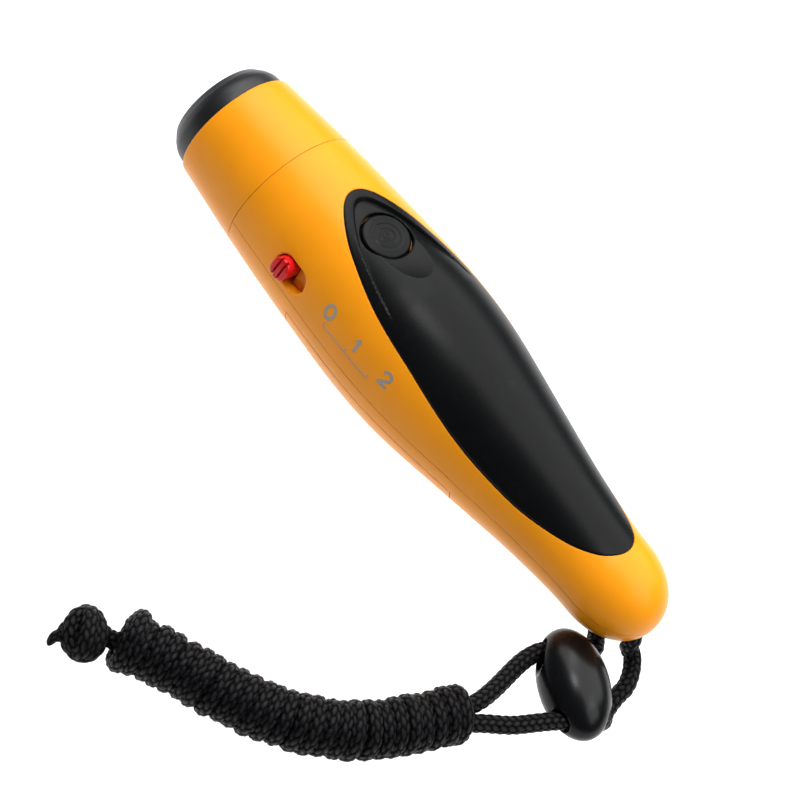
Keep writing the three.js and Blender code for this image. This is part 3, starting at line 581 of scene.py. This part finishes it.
ORANGE = moulded("orange_abs", (0.90, 0.318, 0.007), 0.34, wear=0.2, Subsurface_Weight=0.12,
                 Subsurface_Radius=(0.9, 0.35, 0.08), Subsurface_Scale=0.0012,
                 Specular_IOR_Level=0.16)
CAP_BLACK = moulded("satin_black_abs", (0.0075, 0.008, 0.0095), 0.40, wear=0.10,
                    Specular_IOR_Level=0.35)
COMPONENT_BLACK = moulded("component_case", (0.02, 0.02, 0.021), 0.5, grain=2400.0, wear=0.1)
BEAD_BLACK = moulded("polished_black", (0.0028, 0.0030, 0.0036), 0.27, wear=0.02,
                     Specular_IOR_Level=0.2)
KNOB_RED = moulded("glossy_red", (0.62, 0.008, 0.012), 0.24, wear=0.0, Subsurface_Weight=0.1,
                   Specular_IOR_Level=0.25, Subsurface_Radius=(1.0, 0.1, 0.08),
                   Subsurface_Scale=0.0008)
WIRE_RED = moulded("red_pvc", (0.45, 0.02, 0.025), 0.38, wear=0.0)
WIRE_BLACK = moulded("black_pvc", (0.012, 0.012, 0.013), 0.38, wear=0.0)
PAD_BLACK = soft_touch()
CORD_BLACK = braided_polyester()
STEEL = metal("zinc_plated_steel", (0.62, 0.63, 0.66), 0.3)
SPRING_STEEL = metal("nickel_plated_spring", (0.7, 0.69, 0.67), 0.24)
BRASS = metal("rolled_brass", (0.78, 0.56, 0.24), 0.28)
INK = printed_ink()


# ---- nose, shells, door and pad
def front_cap(x, y, z):
    s, rho = -x, np.hypot(y, z)
    band = rho - CAP_BAND(np.maximum(s, CAP_EDGE[0]))[0]
    bevel = rho - CAP_EDGE[1] - CAP_BEVEL_SLOPE * (s - CAP_EDGE[0])
    bevel = bevel / math.hypot(1, CAP_BEVEL_SLOPE)
    outside = both(both(both(band, bevel, 0.15), s - CAP_END, 0.3), -s, 0.3)
    skirt_radius, skirt_start, skirt_end = CAP_SKIRT
    skirt = np.maximum(rho - skirt_radius, np.maximum(s - skirt_end, skirt_start - s))
    solid = either(outside, skirt)
    mouth_radius, mouth_taper, mouth_depth = CAP_MOUTH
    solid = cut(solid, np.maximum(rho - mouth_radius + mouth_taper * s, s - mouth_depth), 0.3)
    solid = cut(solid, np.maximum(rho - CAP_BORE[0], CAP_BORE[1] - s))
    holes = rho - SOUND_HOLE_RADII[0]
    for i in range(SOUND_HOLES):
        angle = i * 2 * math.pi / SOUND_HOLES
        y0, z0 = SOUND_HOLE_RING * math.cos(angle), SOUND_HOLE_RING * math.sin(angle)
        holes = np.minimum(holes, np.hypot(y - y0, z - z0) - SOUND_HOLE_RADII[1])
    return cut(solid, holes, 0.25)


def front_collar(x, y, z):
    s, rho = -x, np.hypot(y, z)
    ring = both(both(body(x, y, z), s - SEAM + SEAM_GAP / 2), CAP_END + SEAM_GAP - s, 0.45)
    skirt = both(rho - COLLAR_SKIRT[0], s - COLLAR_SKIRT[1], 0.4)
    front_radius, rear_radius, step = COLLAR_BORE
    bore = np.minimum(rho - front_radius, np.maximum(rho - rear_radius, step - s))
    return cut(either(ring, skirt), bore)


def upper_shell(x, y, z):
    s = -x
    outside = body(x, y, z)
    cavity = np.maximum(body(x, y, z, UPPER_WALL), s - UPPER_CAVITY_END)
    solid = cut(outside, cut(cavity, dish(x, y, z, UPPER_WALL)))
    for station, y0 in CASE_SCREWS:
        boss = np.maximum(column(x, y, z, station, y0, SCREW_BOSS[0]), outside + SCREW_BOSS[1])
        pilot = column(x, y, z, station, y0, SCREW_PILOT[0], -1, SCREW_PILOT[1])
        solid = cut(either(solid, boss, 0.5), pilot)
    floor = cut(body(x, y, z, PAD_THICKNESS + GAP), dish(x, y, z, PAD_THICKNESS + GAP))
    solid = cut(solid, cut(pad_side(x, y, z, PAD_GAP), floor))
    solid = cut(solid, column(x, y, z, DISH_STATION, 0, BUTTON_RADIUS + GAP, HOLLOW))
    across, outwards = slot_frame(y, z)
    slot = obround(s - SLOT_STATION, across, SLOT_LENGTH / 2, SLOT_WIDTH / 2)
    solid = cut(solid, np.maximum(slot, HOLLOW - outwards), 0.45)
    return np.maximum(np.maximum(solid, SEAM + SEAM_GAP / 2 - s), SEAM_GAP / 2 - z)


def lower_tube(x, y, z):
    """The lower half of the body, before the door is parted from the shell."""
    s = -x
    outside = both(body(x, y, z), REST_Z - z, 0.8)
    ends = np.maximum(s - LOWER_CAVITY_END, REST_Z + LOWER_WALL - z)
    cavity = np.maximum(body(x, y, z, LOWER_WALL), ends)
    return outside, cut(outside, cavity)


def door_block(x, y, z, margin):
    front, rear = DOOR_STATIONS
    lengthwise = np.abs(-x - (front + rear) / 2) - (rear - front) / 2
    return np.maximum(lengthwise, z - DOOR_TOP) - margin + 0 * y


def lower_shell(x, y, z):
    s = -x
    outside, solid = lower_tube(x, y, z)
    for station, y0 in CASE_SCREWS:
        seat = -math.sqrt(BODY(station)[0] ** 2 - y0**2) + SCREW_SEAT
        boss = np.maximum(column(x, y, z, station, y0, SCREW_BOSS[0]), outside + SCREW_BOSS[1])
        solid = either(solid, boss, 0.5)
        solid = cut(solid, column(x, y, z, station, y0, SCREW_HEAD, -99, seat), 0.3)
        solid = cut(solid, column(x, y, z, station, y0, SCREW_HOLE))
    ring = np.hypot(x + EYE_STATION, z - EYE_Z) - EYE_RADIUS
    solid = cut(solid, np.hypot(ring, y) - EYE_BORE, 0.5)
    solid = cut(solid, door_block(x, y, z, DOOR_GAP / 2))
    return np.maximum(np.maximum(solid, SEAM + SEAM_GAP / 2 - s), z + SEAM_GAP / 2)


def battery_door(x, y, z):
    _, solid = lower_tube(x, y, z)
    solid = both(solid, door_block(x, y, z, -DOOR_GAP / 2))
    for side in (-1, 1):
        ys = [side * value for value in DOOR_TAB_SIDES]
        for stations, zs in (DOOR_TAB_POST, DOOR_TAB_TONGUE):
            solid = np.minimum(solid, brick(x, y, z, stations, ys, zs))
    return solid


def grip_pad(x, y, z):
    top = cut(body(x, y, z), dish(x, y, z), 0.25)
    solid = both(pad_side(x, y, z), top, 0.3)
    under = cut(body(x, y, z, PAD_THICKNESS), dish(x, y, z, PAD_THICKNESS))
    solid = cut(solid, under)
    return cut(solid, column(x, y, z, DISH_STATION, 0, BUTTON_RADIUS + GAP), 0.35)


def thumb_button(x, y, z):
    rho = np.hypot(x + DISH_STATION, y)
    crown = BODY(DISH_STATION)[0] - DISH_DEPTH + BUTTON_CROWN[0] - BUTTON_CROWN[1] * rho**2
    ring_height, ring_spacing, ring_limit = BUTTON_RINGS
    rings = ring_height * np.cos(rho * 2 * math.pi / ring_spacing) * (rho < ring_limit)
    button = both(rho - BUTTON_RADIUS, z - crown - rings, 0.6)
    button = np.maximum(button, BUTTON_FLANGE[1] - BUTTON_FLANGE[2] - z)
    flange, stem = (np.maximum(rho - radius, np.abs(z - level) - half)
                    for radius, level, half in (BUTTON_FLANGE, BUTTON_STEM))
    return either(either(button, flange), stem, 0.3)


def tone_knob(x, y, z):
    s = -x
    across, outwards = slot_frame(y, z)
    half = [k / 2 for k in KNOB_SIZE]
    dx = np.maximum(np.abs(s - KNOB_STATION) - half[0] + KNOB_CORNER, 0)
    dy = np.maximum(np.abs(across) - half[1] + KNOB_CORNER, 0)
    crown = KNOB_TOP + KNOB_CROWN[0] - KNOB_CROWN[1] * across**2
    stem = both(np.hypot(dx, dy) - KNOB_CORNER, outwards - crown, 0.35)
    stem = np.maximum(stem, KNOB_FOOT - outwards)
    for i in (-1, 1):
        groove = np.abs(s - KNOB_STATION - i * KNOB_SIZE[0] / 6) - KNOB_GROOVE[0]
        stem = cut(stem, np.maximum(groove, KNOB_TOP - KNOB_GROOVE[1] - outwards), 0.15)
    return stem


def tone_shutter(x, y, z):
    s = -x
    across, outwards = slot_frame(y, z)
    half_length, half_width, half_wall = SHUTTER_HALF
    share = (s - KNOB_STATION + half_length) / (2 * half_length)
    outside = SHUTTER_RADII[0] + (SHUTTER_RADII[1] - SHUTTER_RADII[0]) * share
    plate = np.abs(np.hypot(y, z) - outside + half_wall) - half_wall
    plate = both(plate, np.abs(across) - half_width, 0.15)
    plate = both(plate, np.maximum(np.abs(s - KNOB_STATION) - half_length, HOLLOW - outwards), 0.15)
    hole = np.maximum(np.abs(s - KNOB_STATION) - KNOB_SIZE[0] / 2, np.abs(across) - KNOB_SIZE[1] / 2)
    return cut(plate, hole - KNOB_FIT)


def bead_axes():
    """The bead's long axis, and its hole axis, towards the coil."""
    c, s = math.cos(BEAD_TURN), math.sin(BEAD_TURN)
    return np.array([c, s, 0.0]), np.array([s, -c, 0.0])


def cord_bead(x, y, z):
    long_axis, hole_axis = bead_axes()
    px, py, pz = x - BEAD_CENTRE[0], y - BEAD_CENTRE[1], z - BEAD_CENTRE[2]
    a = px * long_axis[0] + py * long_axis[1]
    b = px * hole_axis[0] + py * hole_axis[1]
    egg = ellipsoid(a, b, pz, (0, 0, 0), BEAD_HALF)
    over = np.abs(a) - BEAD_HOLES[0]
    spread = MOUTH_SPREAD * np.maximum(b - MOUTH_START, 0) * (a < 0)
    over = over - np.clip(over, -spread, 0)
    return cut(egg, np.hypot(over, pz) - BEAD_HOLES[1], 0.45)


FINE_CELL, SHELL_CELL = ((0.26, 0.4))
SWITCH_CELL = 0.2
for piece_row in (
    ("nose_cap", "front_cap", "whistle", "cap_black", CAP_BLACK, front_cap, FINE_CELL),
    ("nose_collar", "front_collar", "whistle", "body_orange", ORANGE, front_collar, SHELL_CELL),
    ("shell_upper", "upper_shell", "whistle", "body_orange", ORANGE, upper_shell, SHELL_CELL),
    ("shell_lower", "lower_shell", "whistle", "body_orange", ORANGE, lower_shell, SHELL_CELL),
    ("door", "battery_door", "door", "body_orange", ORANGE, battery_door, SHELL_CELL),
    ("pad", "grip_pad", "whistle", "pad_black", PAD_BLACK, grip_pad, FINE_CELL),
    ("button", "thumb_button", "button", "pad_black", PAD_BLACK, thumb_button, FINE_CELL),
    ("knob", "tone_knob", "tone_slider", "knob_red", KNOB_RED, tone_knob, SWITCH_CELL),
    ("shutter", "tone_shutter", "tone_slider", "body_orange", ORANGE, tone_shutter, SWITCH_CELL),
    ("bead", "cord_bead", "bead", "bead_black", BEAD_BLACK, cord_bead, FINE_CELL),
):
    carved_piece(*piece_row)


# ---- braided cord
PICK_SPACING = 1.75  # along the cord
PICK_COLUMNS = 10  # round the cord
PICK_HALF = (0.92, 0.56)  # half length and half width
PICK_LEAN = math.radians(27)
PICK_HEIGHT = 0.26
CORD_SIDES = 48
SPAN_STEPS = 24  # places worked out between two points of a path


def braid(turn, along, radius):
    """Height of the braid's picks, and the place across a pick, at a turn round and a length along."""
    column_width = 2 * math.pi * radius / PICK_COLUMNS
    u = turn / (2 * math.pi) * PICK_COLUMNS
    best = np.zeros(np.broadcast(u, along).shape)
    side = np.zeros_like(best)
    for step in (-1, 0, 1):
        col = np.round(u) + step
        even = np.mod(col, 2) < 0.5
        lean = np.where(even, PICK_LEAN, -PICK_LEAN)
        row = along / PICK_SPACING - np.where(even, 0.0, 0.5)
        for up in (-1, 0, 1):
            dv = (row - np.round(row) - up) * PICK_SPACING
            du = (u - col) * column_width
            long = dv * np.cos(lean) + du * np.sin(lean)
            wide = du * np.cos(lean) - dv * np.sin(lean)
            inside = 1 - (long / PICK_HALF[0]) ** 2 - (wide / PICK_HALF[1]) ** 2
            height = np.sqrt(np.maximum(inside, 0)) * PICK_HEIGHT
            side = np.where(height > best, wide, side)
            best = np.maximum(best, height)
    return best, side


def smooth_path(points, spacing):
    """Evenly spaced points on a smooth curve through points."""
    p = np.array(points, float)
    p = np.vstack([2 * p[0] - p[1], p, 2 * p[-1] - p[-2]])
    t = np.linspace(0, 1, SPAN_STEPS, endpoint=False)[:, None]
    parts = []
    for a, b, c, d in zip(p, p[1:], p[2:], p[3:]):
        parts.append(b + 0.5 * t * (c - a) + t**2 * (a - 2.5 * b + 2 * c - 0.5 * d)
                     + t**3 * (1.5 * (b - c) + 0.5 * (d - a)))
    return even_path(np.vstack(parts + [p[-2:-1]]), spacing)


def even_path(dense, spacing):
    length = np.r_[0, np.cumsum(np.linalg.norm(np.diff(dense, axis=0), axis=1))]
    count = max(int(round(length[-1] / spacing)), 4)
    even = np.linspace(0, length[-1], count + 1)
    return np.stack([np.interp(even, length, dense[:, k]) for k in range(3)], 1)


def path_frames(path):
    """A pair of side directions that don't twist along a path."""
    tangent = np.gradient(path, axis=0)
    tangent /= np.linalg.norm(tangent, axis=1)[:, None]
    start = np.cross(tangent[0], (0.0, 0.0, 1.0) if abs(tangent[0][2]) < 0.9 else (0.0, 1.0, 0.0))
    sides = [start / np.linalg.norm(start)]
    for t in tangent[1:]:
        side = sides[-1] - t * (sides[-1] @ t)
        sides.append(side / np.linalg.norm(side))
    first = np.array(sides)
    return first, np.cross(tangent, first)


def cord_piece(name, path, thickness=None):
    """A closed braided cord along a path, with its braid heights kept for the material."""
    length = np.r_[0, np.cumsum(np.linalg.norm(np.diff(path, axis=0), axis=1))]
    one, two = path_frames(path)
    turn = np.linspace(0, 2 * math.pi, CORD_SIDES, endpoint=False)
    height, side = braid(turn[None, :], length[:, None], CORD_RADIUS)
    radius = CORD_RADIUS - PICK_HEIGHT + height
    if thickness is not None:
        radius = radius * thickness[:, None]
    ring = one[:, None, :] * np.cos(turn)[None, :, None] + two[:, None, :] * np.sin(turn)[None, :, None]
    points = (path[:, None, :] + ring * radius[:, :, None]).reshape(-1, 3)
    rows, n = len(path), CORD_SIDES
    i, j = np.meshgrid(np.arange(rows - 1), np.arange(n), indexing="ij")
    after = (j + 1) % n
    quads = np.stack([i * n + j, i * n + after, (i + 1) * n + after, (i + 1) * n + j], -1)
    quads = quads.reshape(-1, 4)
    points = np.vstack([points, path[0], path[-1]])
    k = np.arange(n)
    first, last = rows * n, rows * n + 1
    caps = [np.stack([k, np.full(n, first), (k + 1) % n], 1),
            np.stack([(rows - 1) * n + k, (rows - 1) * n + (k + 1) % n, np.full(n, last)], 1)]
    triangles = np.vstack([quads[:, [0, 1, 2]], quads[:, [0, 2, 3]], *caps])
    piece = shape_object(name, points, triangles, CORD_BLACK, sharp=0)
    for label, values in (("height", height), ("across", side)):
        attribute = piece.data.attributes.new(label, "FLOAT", "POINT")
        attribute.data.foreach_set("value", np.r_[values.ravel(), 0, 0].astype(np.float32))
    return piece


RING_SPACING = 0.25


def bead_point(along, to_coil, z=CORD_Z):
    long_axis, hole_axis = bead_axes()
    x, y, _ = BEAD_CENTRE + along * long_axis + to_coil * hole_axis
    return (x, y, z)


def eye_arc():
    """The cord's half turn over the bar of the eye, from its front mouth to its rear mouth."""
    return [(-EYE_STATION + EYE_RADIUS * math.cos(a), 0.0, EYE_Z + EYE_RADIUS * math.sin(a))
            for a in np.linspace(0, math.pi, 9)]


def lanyard():
    """One cord through the eye, both its ends through the bead, then two strands to the coil."""
    end_z = EYE_Z - 1
    front_x, rear_x = -EYE_STATION + EYE_RADIUS, -EYE_STATION - EYE_RADIUS
    front = [(front_x, 0, end_z), (front_x, 0, end_z - 2.2), (front_x - 1, 1.6, end_z - 3.8),
             (-EYE_STATION + 0.6, 4.6, CORD_Z - 1.7), bead_point(-8, -6.4, CORD_Z - 0.1),
             bead_point(-8, -1)]
    rear = [(rear_x, 0, end_z), (rear_x - 0.2, -0.3, end_z - 1.3), (rear_x - 1.8, -0.7, end_z - 2.9),
            (rear_x - 4.2, 1.2, end_z - 4.0), (rear_x - 6.1, 4.4, end_z - 4.4),
            bead_point(1.9, -10.4, CORD_Z - 3.7), bead_point(4.4, -7.9, CORD_Z - 4.5),
            bead_point(7.2, -5.9, CORD_Z - 3.2), bead_point(8, -3.6, CORD_Z - 0.8), bead_point(8, -1)]
    loop = cord_piece("lanyard_loop", smooth_path(front[::-1] + eye_arc() + rear, RING_SPACING))
    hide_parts("cord_bight", "cord_strand_front", "cord_strand_rear")
    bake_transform(loop)
    onward = {
        "strand_front": [bead_point(-8, -1), bead_point(-7.9, 5.0), bead_point(-7.3, 7.2),
                         bead_point(-6.1, 9.6), bead_point(-4.3, 12.2), bead_point(0.3, 18.2),
                         bead_point(3.0, 22.9), bead_point(5.0, 30)],
        "strand_rear": [bead_point(8, -1), bead_point(8, 6), bead_point(8.1, 10), bead_point(8.3, 16),
                        bead_point(7.5, 22.4), bead_point(7.0, 29)],
    }
    for name, points in onward.items():
        strand = cord_piece("lanyard_" + name, smooth_path(points, RING_SPACING))
        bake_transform(strand)


COIL_LINE = [(-139.5, 39.4), (-138.4, 42.6), (-134.3, 54.6), (-129, 65.2), (-119.8, 75),
             (-108.8, 81.9), (-99, 86.6), (-92.6, 90.6), (-88.9, 94.0)]
KNOT_CENTRE = np.array([-84.6, 97.7, REST_Z + 5.5])


def wander(t, *waves):
    """A smooth, repeatable unevenness: a sum of sines given as (size, frequency, phase)."""
    return sum(size * np.sin(frequency * t + phase) for size, frequency, phase in waves)


def wound_bundle():
    """The cord wound side by side round the folded strands, with its last turn crossing the wraps."""
    step = 0.1
    middle = smooth_path([(x, y, REST_Z + COIL_RADIUS + CORD_RADIUS) for x, y in COIL_LINE], step)
    wrapped = step * (len(middle) - 1) - 2 * COIL_END
    turns = round(wrapped / COIL_PITCH)
    turn = np.arange(0, turns + LAST_TURN, 1 / 120)
    over = np.clip((turn - turns) / LAST_TURN, 0, 1)
    hop = np.sin(math.pi * over)
    along = COIL_END + wrapped * np.minimum(turn / turns, 1) - LAST_TURN_BACK * hop
    along = along + wander(turn, (0.2, 2.3, 0.4), (0.14, 5.1, 1.9))
    radius = COIL_RADIUS + wander(turn, (0.12, 1.7, 0.0), (0.1, 4.3, 2.0)) + LAST_TURN_RISE * hop
    # the cord comes out of the middle at the start and dives back into it at the end
    emerging = np.clip(0.35 + turn / 0.4, 0, 1)
    diving = 1 - 0.85 * np.clip((over - 0.75) / 0.25, 0, 1)
    radius = radius * emerging * diving
    where = np.clip(along / step, 0, len(middle) - 1.001)
    index = where.astype(int)
    part = (where - index)[:, None]
    centre = middle[index] * (1 - part) + middle[index + 1] * part
    tangent = np.gradient(middle, axis=0)[index]
    tangent /= np.linalg.norm(tangent, axis=1)[:, None]
    upright = np.array([0, 0, 1.0])
    level = np.cross(tangent, upright)
    angle = (2 * math.pi * (turn - LAST_TURN / 2) + LAST_TURN_ANGLE)[:, None]
    spiral = centre + radius[:, None] * (level * np.cos(angle) + upright * np.sin(angle))
    spiral[:, 2] = np.maximum(spiral[:, 2], REST_Z + CORD_RADIUS)
    coil = cord_piece("wound_cord", even_path(spiral, RING_SPACING))
    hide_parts("cord_coil")
    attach(coil, "bundle")


def end_knot():
    """A tight ball of a knot: crossing turns, fed from inside the coil, and a melted tip."""
    t = np.linspace(0, 1, 60)
    swing = 0.5 + 4.3 * t  # the axis that the turns go round sways as they go on
    axis = np.stack([np.cos(swing), 0.85 * np.sin(5.3 * t + 0.8), np.sin(swing)], 1)
    axis /= np.linalg.norm(axis, axis=1)[:, None]
    one = np.cross(axis, (0.2, 1.0, 0.1))
    one /= np.linalg.norm(one, axis=1)[:, None]
    two = np.cross(axis, one)
    angle = (2 * math.pi * KNOT_TURNS * t + 0.9)[:, None]
    reach = (KNOT_REACH[0] + KNOT_REACH[1] * np.minimum(t * 1.4, 1))[:, None]
    ball = reach * (one * np.cos(angle) + two * np.sin(angle))
    ball = KNOT_CENTRE + ball + KNOT_STRETCH * KNOT_LONG * (ball @ KNOT_LONG)[:, None]
    lead = [(-90.5, 92.4, REST_Z + 6.2), (-88.0, 94.4, REST_Z + 6.0)]
    tail = [(-82.3, 101.3, REST_Z + 4.8), (-81.9, 102.9, REST_Z + 4.3), (-82.6, 104.9, REST_Z + 4.0)]
    path = smooth_path(np.vstack([lead, ball, tail]), RING_SPACING)
    length = np.arange(len(path)) * RING_SPACING
    left = length[-1] - length
    thickness = np.minimum(0.05 + np.sqrt(np.maximum(left, 0) / TIP_LENGTH), 1.0)
    piece = cord_piece("end_knot", path, thickness=thickness)
    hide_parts("cord_knot")
    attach(piece, "bundle")


lanyard()
wound_bundle()
end_knot()


# ---- printed marks
INK_LAYERS = (0.035, -0.1)  # heights of the ink's top and bottom from the body
MARK_STATIONS = (56.8, 66.2, 75.4)
MARK_LEVEL = 7.7  # arc from the middle plane
MARK_HALF = (1.15, 1.6)  # half width along the body, half height round it
MARK_STROKE = 0.75
BRACKET_STATIONS = (57.3, 64.6, 71.9)
BRACKET_LEVEL = 4.2
BRACKET_STROKE = 0.24


def stroke(points, width):
    """A flat ribbon of ink along a line of (station, arc) points on the body, closed on all sides."""
    p = np.array(points, float)
    way = np.gradient(p, axis=0)
    way /= np.maximum(np.linalg.norm(way, axis=1), 1e-9)[:, None]
    side = np.stack([-way[:, 1], way[:, 0]], 1) * width / 2
    edge = np.stack([p + side, p - side], 1).reshape(-1, 2)
    s, arc = edge.T
    radius = BODY(s)[0]
    layers = []
    for lift in INK_LAYERS:
        angle, out = arc / radius, radius + lift
        layers.append(np.stack([-s, out * np.cos(angle), out * np.sin(angle)], 1))
    count = len(edge)
    faces = []
    for k in range(0, count - 2, 2):
        faces += [(k, k + 2, k + 3, k + 1), (count + k, count + k + 1, count + k + 3, count + k + 2),
                  (k, count + k, count + k + 2, k + 2), (k + 1, k + 3, count + k + 3, count + k + 1)]
    faces += [(0, 1, count + 1, count), (count - 2, 2 * count - 2, 2 * count - 1, count - 1)]
    return np.vstack(layers), np.array(faces)


def arc_points(centre, radii, start, end, steps=14):
    angles = np.radians(np.linspace(start, end, steps))
    return [(centre[0] + radii[0] * math.cos(a), centre[1] + radii[1] * math.sin(a)) for a in angles]


def line_points(a, b, steps=6):
    return [tuple(np.array(a) + (np.array(b) - np.array(a)) * t) for t in np.linspace(0, 1, steps)]


def printed_marks():
    """The numbers 0, 1 and 2 for the switch's positions, over a plain bracket line."""
    level, high = MARK_LEVEL, MARK_HALF[1]
    low, top = level - high, level + high
    first, second, third = MARK_STATIONS
    zero = arc_points((first, level), MARK_HALF, 0, 360, 28)
    one = line_points((second, low), (second, top))
    flag = line_points((second - 1, level + 0.6), (second, top), 3)
    bow = arc_points((third, level + 0.6), (1.1, 1.0), 170, -30)
    corner = (third - 1.2, low)
    two = bow + line_points(bow[-1], corner) + line_points(corner, (third + 1.3, low))
    rail = line_points((BRACKET_STATIONS[0], BRACKET_LEVEL), (BRACKET_STATIONS[-1], BRACKET_LEVEL), 24)
    ticks = [line_points((s, BRACKET_LEVEL), (s, BRACKET_LEVEL + 0.9)) for s in BRACKET_STATIONS]
    strokes = [(zero, MARK_STROKE), (one, MARK_STROKE), (flag, 0.6), (two, MARK_STROKE)]
    strokes += [(line, BRACKET_STROKE) for line in [rail, *ticks]]
    points, faces, count = [], [], 0
    for line, width in strokes:
        p, f = stroke(line, width)
        points.append(p)
        faces.append(f + count)
        count += len(p)
    marks = shape_object("printed_marks", np.vstack(points), np.vstack(faces), INK)
    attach(marks, "whistle")


printed_marks()


# ---- finishes of the CAD nodes that stay
def finish_nodes():
    finishes = {
        "sounder_seal": foam(), "piezo_disc": BRASS, "piezo_ceramic": fired_ceramic(),
        "slide_switch_body": STEEL, "circuit_board": solder_mask(), "boost_inductor": wound_copper(),
    }
    for name in ("sounder_housing", "sounder_retaining_ring", "tact_switch_body", "tact_switch_plunger",
                 "slide_switch_actuator", "controller_chip", "driver_transistor",
                 "smoothing_capacitor", "battery_tray"):
        finishes[name] = COMPONENT_BLACK
    jacket = cell_label()
    for side in ("left", "right"):
        finishes["cell_" + side] = jacket
    for kind, count in (("board_screw", 2), ("case_screw", 4)):
        for i in range(count):
            finishes[f"{kind}_{i + 1}"] = STEEL
    for part in ("positive", "negative", "bridge", "spring_front", "spring_rear"):
        finishes["contact_" + part] = SPRING_STEEL
    for run in ("sounder", "battery"):
        finishes[f"{run}_wire_red"] = WIRE_RED
        finishes[f"{run}_wire_black"] = WIRE_BLACK
    for name, material in finishes.items():
        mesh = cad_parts[name].data
        mesh.materials.clear()
        mesh.materials.append(material)
        if name.startswith(("cell", "contact_spring", "boost", "smoothing", "sounder", "battery_wire")):
            mesh.shade_smooth()
            mesh.set_sharp_from_angle(angle=math.radians(40))


finish_nodes()


# ---- studio and camera
FLOOR_SIZE = 3.0
FLOOR_DROP = 0.105  # far enough below for the cord to hang down and the door to open
FLOOR_GLOW = 0.24
WORLD_STRENGTH = (0.12, 1.05)  # as a light, and as the backdrop that the camera sees


def studio():
    """A faintly glowing white floor, a white backdrop, and soft lights: a main one and three small."""
    n = Nodes("floor_white")
    speckle = n.noise(900.0, 4.0)
    n.set(Base_Color=n.mix(speckle, (0.76, 0.765, 0.775), (0.8, 0.8, 0.805)), Roughness=0.7)
    n.set(Emission_Color=(1.0, 1.0, 1.0), Emission_Strength=FLOOR_GLOW)
    bpy.ops.mesh.primitive_plane_add(size=FLOOR_SIZE, location=(0, 0, BASE_Z - FLOOR_DROP))
    floor = bpy.context.object
    floor.name = "studio_floor"
    floor.data.materials.append(n.material)
    world = bpy.data.worlds.new("studio")
    world.use_nodes = True
    nodes, links = world.node_tree.nodes, world.node_tree.links
    nodes["Background"].inputs["Color"].default_value = (0.97, 0.98, 1.0, 1)
    strength = nodes.new("ShaderNodeMapRange")
    strength.inputs["To Min"].default_value, strength.inputs["To Max"].default_value = WORLD_STRENGTH
    links.new(nodes.new("ShaderNodeLightPath").outputs["Is Camera Ray"], strength.inputs["Value"])
    links.new(strength.outputs["Result"], nodes["Background"].inputs["Strength"])
    bpy.context.scene.world = world
    lamps = [
        ("key", (0.0, -0.6, 1.1), 1.8, 32.0),
        ("back", (-0.9, -0.2, 0.9), 0.8, 6.0),
        ("front", (0.8, -0.3, 0.9), 0.8, 6.0),
        ("strip", (0.2, 0.12, 1.0), 0.22, 2.6),
    ]
    aim = Vector((-0.03, 0.02, 0.01))
    for name, place, size, power in lamps:
        light = bpy.data.lights.new(name, "AREA")
        light.energy, light.size = power, size
        lamp = bpy.data.objects.new(name, light)
        lamp.location = place
        lamp.rotation_euler = (aim - Vector(place)).to_track_quat("-Z", "Y").to_euler()
        bpy.context.scene.collection.objects.link(lamp)


def camera():
    """The view: 35 degrees round from the top towards the switch side, looking slightly forwards."""
    back_tilt, side_turn, roll = math.radians(14.5), math.radians(35), math.radians(50.69)
    distance, focal_length = 0.706, 151.2
    aim = Vector((RIM_X - 0.0765, 0.00795, AXIS_Z - 0.0061))
    back = Vector((-math.sin(back_tilt), math.cos(back_tilt) * math.sin(side_turn),
                   math.cos(back_tilt) * math.cos(side_turn)))
    tailward = Vector((-1, 0, 0))
    down_body = (tailward - back * tailward.dot(back)).normalized()
    across = back.cross(down_body)
    right = math.cos(roll) * down_body + math.sin(roll) * across
    up = -math.sin(roll) * down_body + math.cos(roll) * across
    lens = bpy.data.cameras.new("camera")
    lens.lens, lens.sensor_width, lens.clip_start = focal_length, 36.0, 0.01
    cam = bpy.data.objects.new("camera", lens)
    turn = Matrix((right, up, back)).transposed().to_4x4()
    cam.matrix_world = Matrix.Translation(aim + back * distance) @ turn
    bpy.context.scene.collection.objects.link(cam)
    bpy.context.scene.camera = cam
    bpy.context.scene.view_settings.view_transform = "Standard"


studio()
camera()

bpy.context.view_layer.update()
